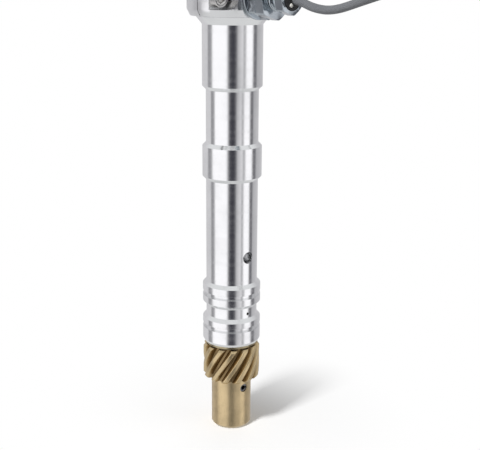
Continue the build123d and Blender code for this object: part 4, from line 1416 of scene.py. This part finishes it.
@dataclass
class ClampScrew:
    """The stainless socket screw that pinches the bowl's split neck (millimetres)."""

    place: Pair = (-18.4, 241.5)
    seat_x: float = 8.4
    head_r: float = 4.25
    head_h: float = 5.0
    socket_af: float = 4.0
    socket_depth: float = 2.6
    thread_r: float = 2.5
    length: float = 20.0
    thread_pitch: float = 0.8
    thread_depth: float = 0.3
    lip_r: float = 3.4
    mouth_r: float = 3.0
    drill_r: float = 1.5

    def build(self) -> None:
        """Build the screw."""
        top = self.seat_x + self.head_h
        core = self.thread_r - self.thread_depth
        floor = top - self.socket_depth

        def socket(height: float, grow: float) -> RingRule:
            """Return the rule of one ring of the hexagon socket."""
            return lambda a: (hexagon_reach(a, self.socket_af + grow, 9.0) * MM, height * MM)

        corners = [
            (0, self.seat_x), (self.head_r, self.seat_x, 0.15), (self.head_r, top, 0.5), (self.lip_r, top),
        ]
        rules = [steady(r * MM, z * MM) for r, z in softened_outline(corners, 0.2, False)]
        rules += [steady(self.mouth_r * MM, (top - 0.05) * MM), socket(top - 0.25, 0.5)]
        rules += [socket(top - 0.5, 0.0), socket(floor + 0.8, 0.0)]
        rules += [steady(self.drill_r * MM, (floor + 0.4) * MM), steady(0, floor * MM)]
        start = self.seat_x - self.length
        end = self.seat_x + 0.2
        rod_line = [(0, start), (core - 0.4, start), (core, start + 0.6), (core, end), (0, end)]
        shape = joined(loft(rules, 96, False), turned(rod_line, 0.1, 64, False))
        place = along_x(0, *self.place)
        screw = new_object("pinch_screw", placed(shape, place))
        finished(screw, STAINLESS, Body.BOWL, ["clamp_screw"], crease_deg=30)
        sizes = (core - 0.02, self.thread_pitch, start + 0.9, self.length - 1.6, self.thread_depth)
        Thread("pinch_screw_thread", *sizes).build(place, STAINLESS, "stainless")


@dataclass
class Bowl:
    """The bowl on its split neck, with the sensor plate and the electronics inside (millimetres)."""

    slit_x: float = 1.1
    slit_half: float = 0.75
    closed_half: float = 0.18

    def close_slit(self, shape: Shape) -> None:
        """Draw the neck's slit together, as its tight screw does."""
        for vertex in shape.verts:
            offset = vertex.co.x / MM - self.slit_x
            if vertex.co.y < 0 and abs(abs(offset) - self.slit_half) < 0.02:
                vertex.co.x = (self.slit_x + math.copysign(self.closed_half, offset)) * MM

    def build(self) -> None:
        """Build the bowl and what it holds."""
        carried_over("bowl", "bowl_turning", MILLED, Body.BOWL, 0.28, 32, self.close_slit)
        carry_all(
            Body.BOWL,
            ("bowl_gasket", "rim_gasket", GASKET_FIBRE, 0.2),
            ("sensor_plate", "base_plate", ZINC, 0.2),
            ("hall_sensor", "vane_sensor", BLACK_NYLON, 0.3),
            ("ignition_module", "potted_module", POTTING, 0.4),
            ("plate_screws", "plate_fixings", STAINLESS, 0.15),
        )


@dataclass
class Cap:
    """The moulded cap, its terminals, its screws and the sprung brush (millimetres)."""

    post_count: int = 8
    post_circle_r: float = 31.5
    stud_r: float = 3.2
    stud_shank_r: float = 2.8
    post_top: float = 334.0
    stud_low: float = 301.5
    stud_top: float = 342.0
    stud_groove_r: float = 2.5
    stud_groove: Pair = (336.2, 338.4)
    coil_low: float = 320.5
    spring_keep: float = 0.48
    groove_slope: float = 0.6
    crown: float = 1.0
    post_clearance: float = 0.02

    def stud(self, low: float) -> Shape:
        """Return one plug stud with its snap groove."""
        g0, g1 = self.stud_groove
        slope, crown = self.groove_slope, self.crown
        outline = [
            (0, low), (self.stud_shank_r, low, 0.3), (self.stud_shank_r, self.post_top, 0.05),
            (self.stud_r, self.post_top + self.post_clearance, 0.2), (self.stud_r, g0, 0.3),
            (self.stud_groove_r, g0 + slope, 0.3), (self.stud_groove_r, g1 - slope, 0.3),
            (self.stud_r, g1, 0.3), (self.stud_r, self.stud_top - crown, 0.5),
            (self.stud_r - crown, self.stud_top, 0.4), (0, self.stud_top),
        ]
        return turned(outline, 0.2, 48, False)

    def build(self) -> None:
        """Build the cap."""
        carried_over("cap", "cap_shell", CAP_MOULDING, Body.CAP, 0.45, 32)
        stud = self.stud(self.stud_low)
        studs = ring_of("plug_studs", stud, self.post_count, self.post_circle_r, 0.0, 0.0, BRASS)
        finished(studs, BRASS, Body.CAP, ["cap_terminals"])
        finished(new_object("coil_stud", self.stud(self.coil_low)), BRASS, Body.CAP, ["coil_terminal"])
        carried_over("cap_screws", "cap_fixings", STAINLESS, Body.CAP, 0.2)
        spring = carried_over("brush_spring", "contact_spring", SPRING_STEEL, Body.CAP, 0.02)
        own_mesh(spring)
        carried_over("carbon_brush", "centre_brush", CARBON, Body.BRUSH, 0.3)


def main() -> None:
    """Build the studio and every sub-assembly, in order."""
    logging.basicConfig(level=logging.INFO, format="%(name)s: %(message)s")
    for assembly in (
        Studio(), Lead(), Shank(), Bearing(), DriveGear(), ShaftGroup(), Bowl(), ClampScrew(), Gland(), Cap(),
    ):
        assembly.build()


if __name__ == "__main__":
    main()
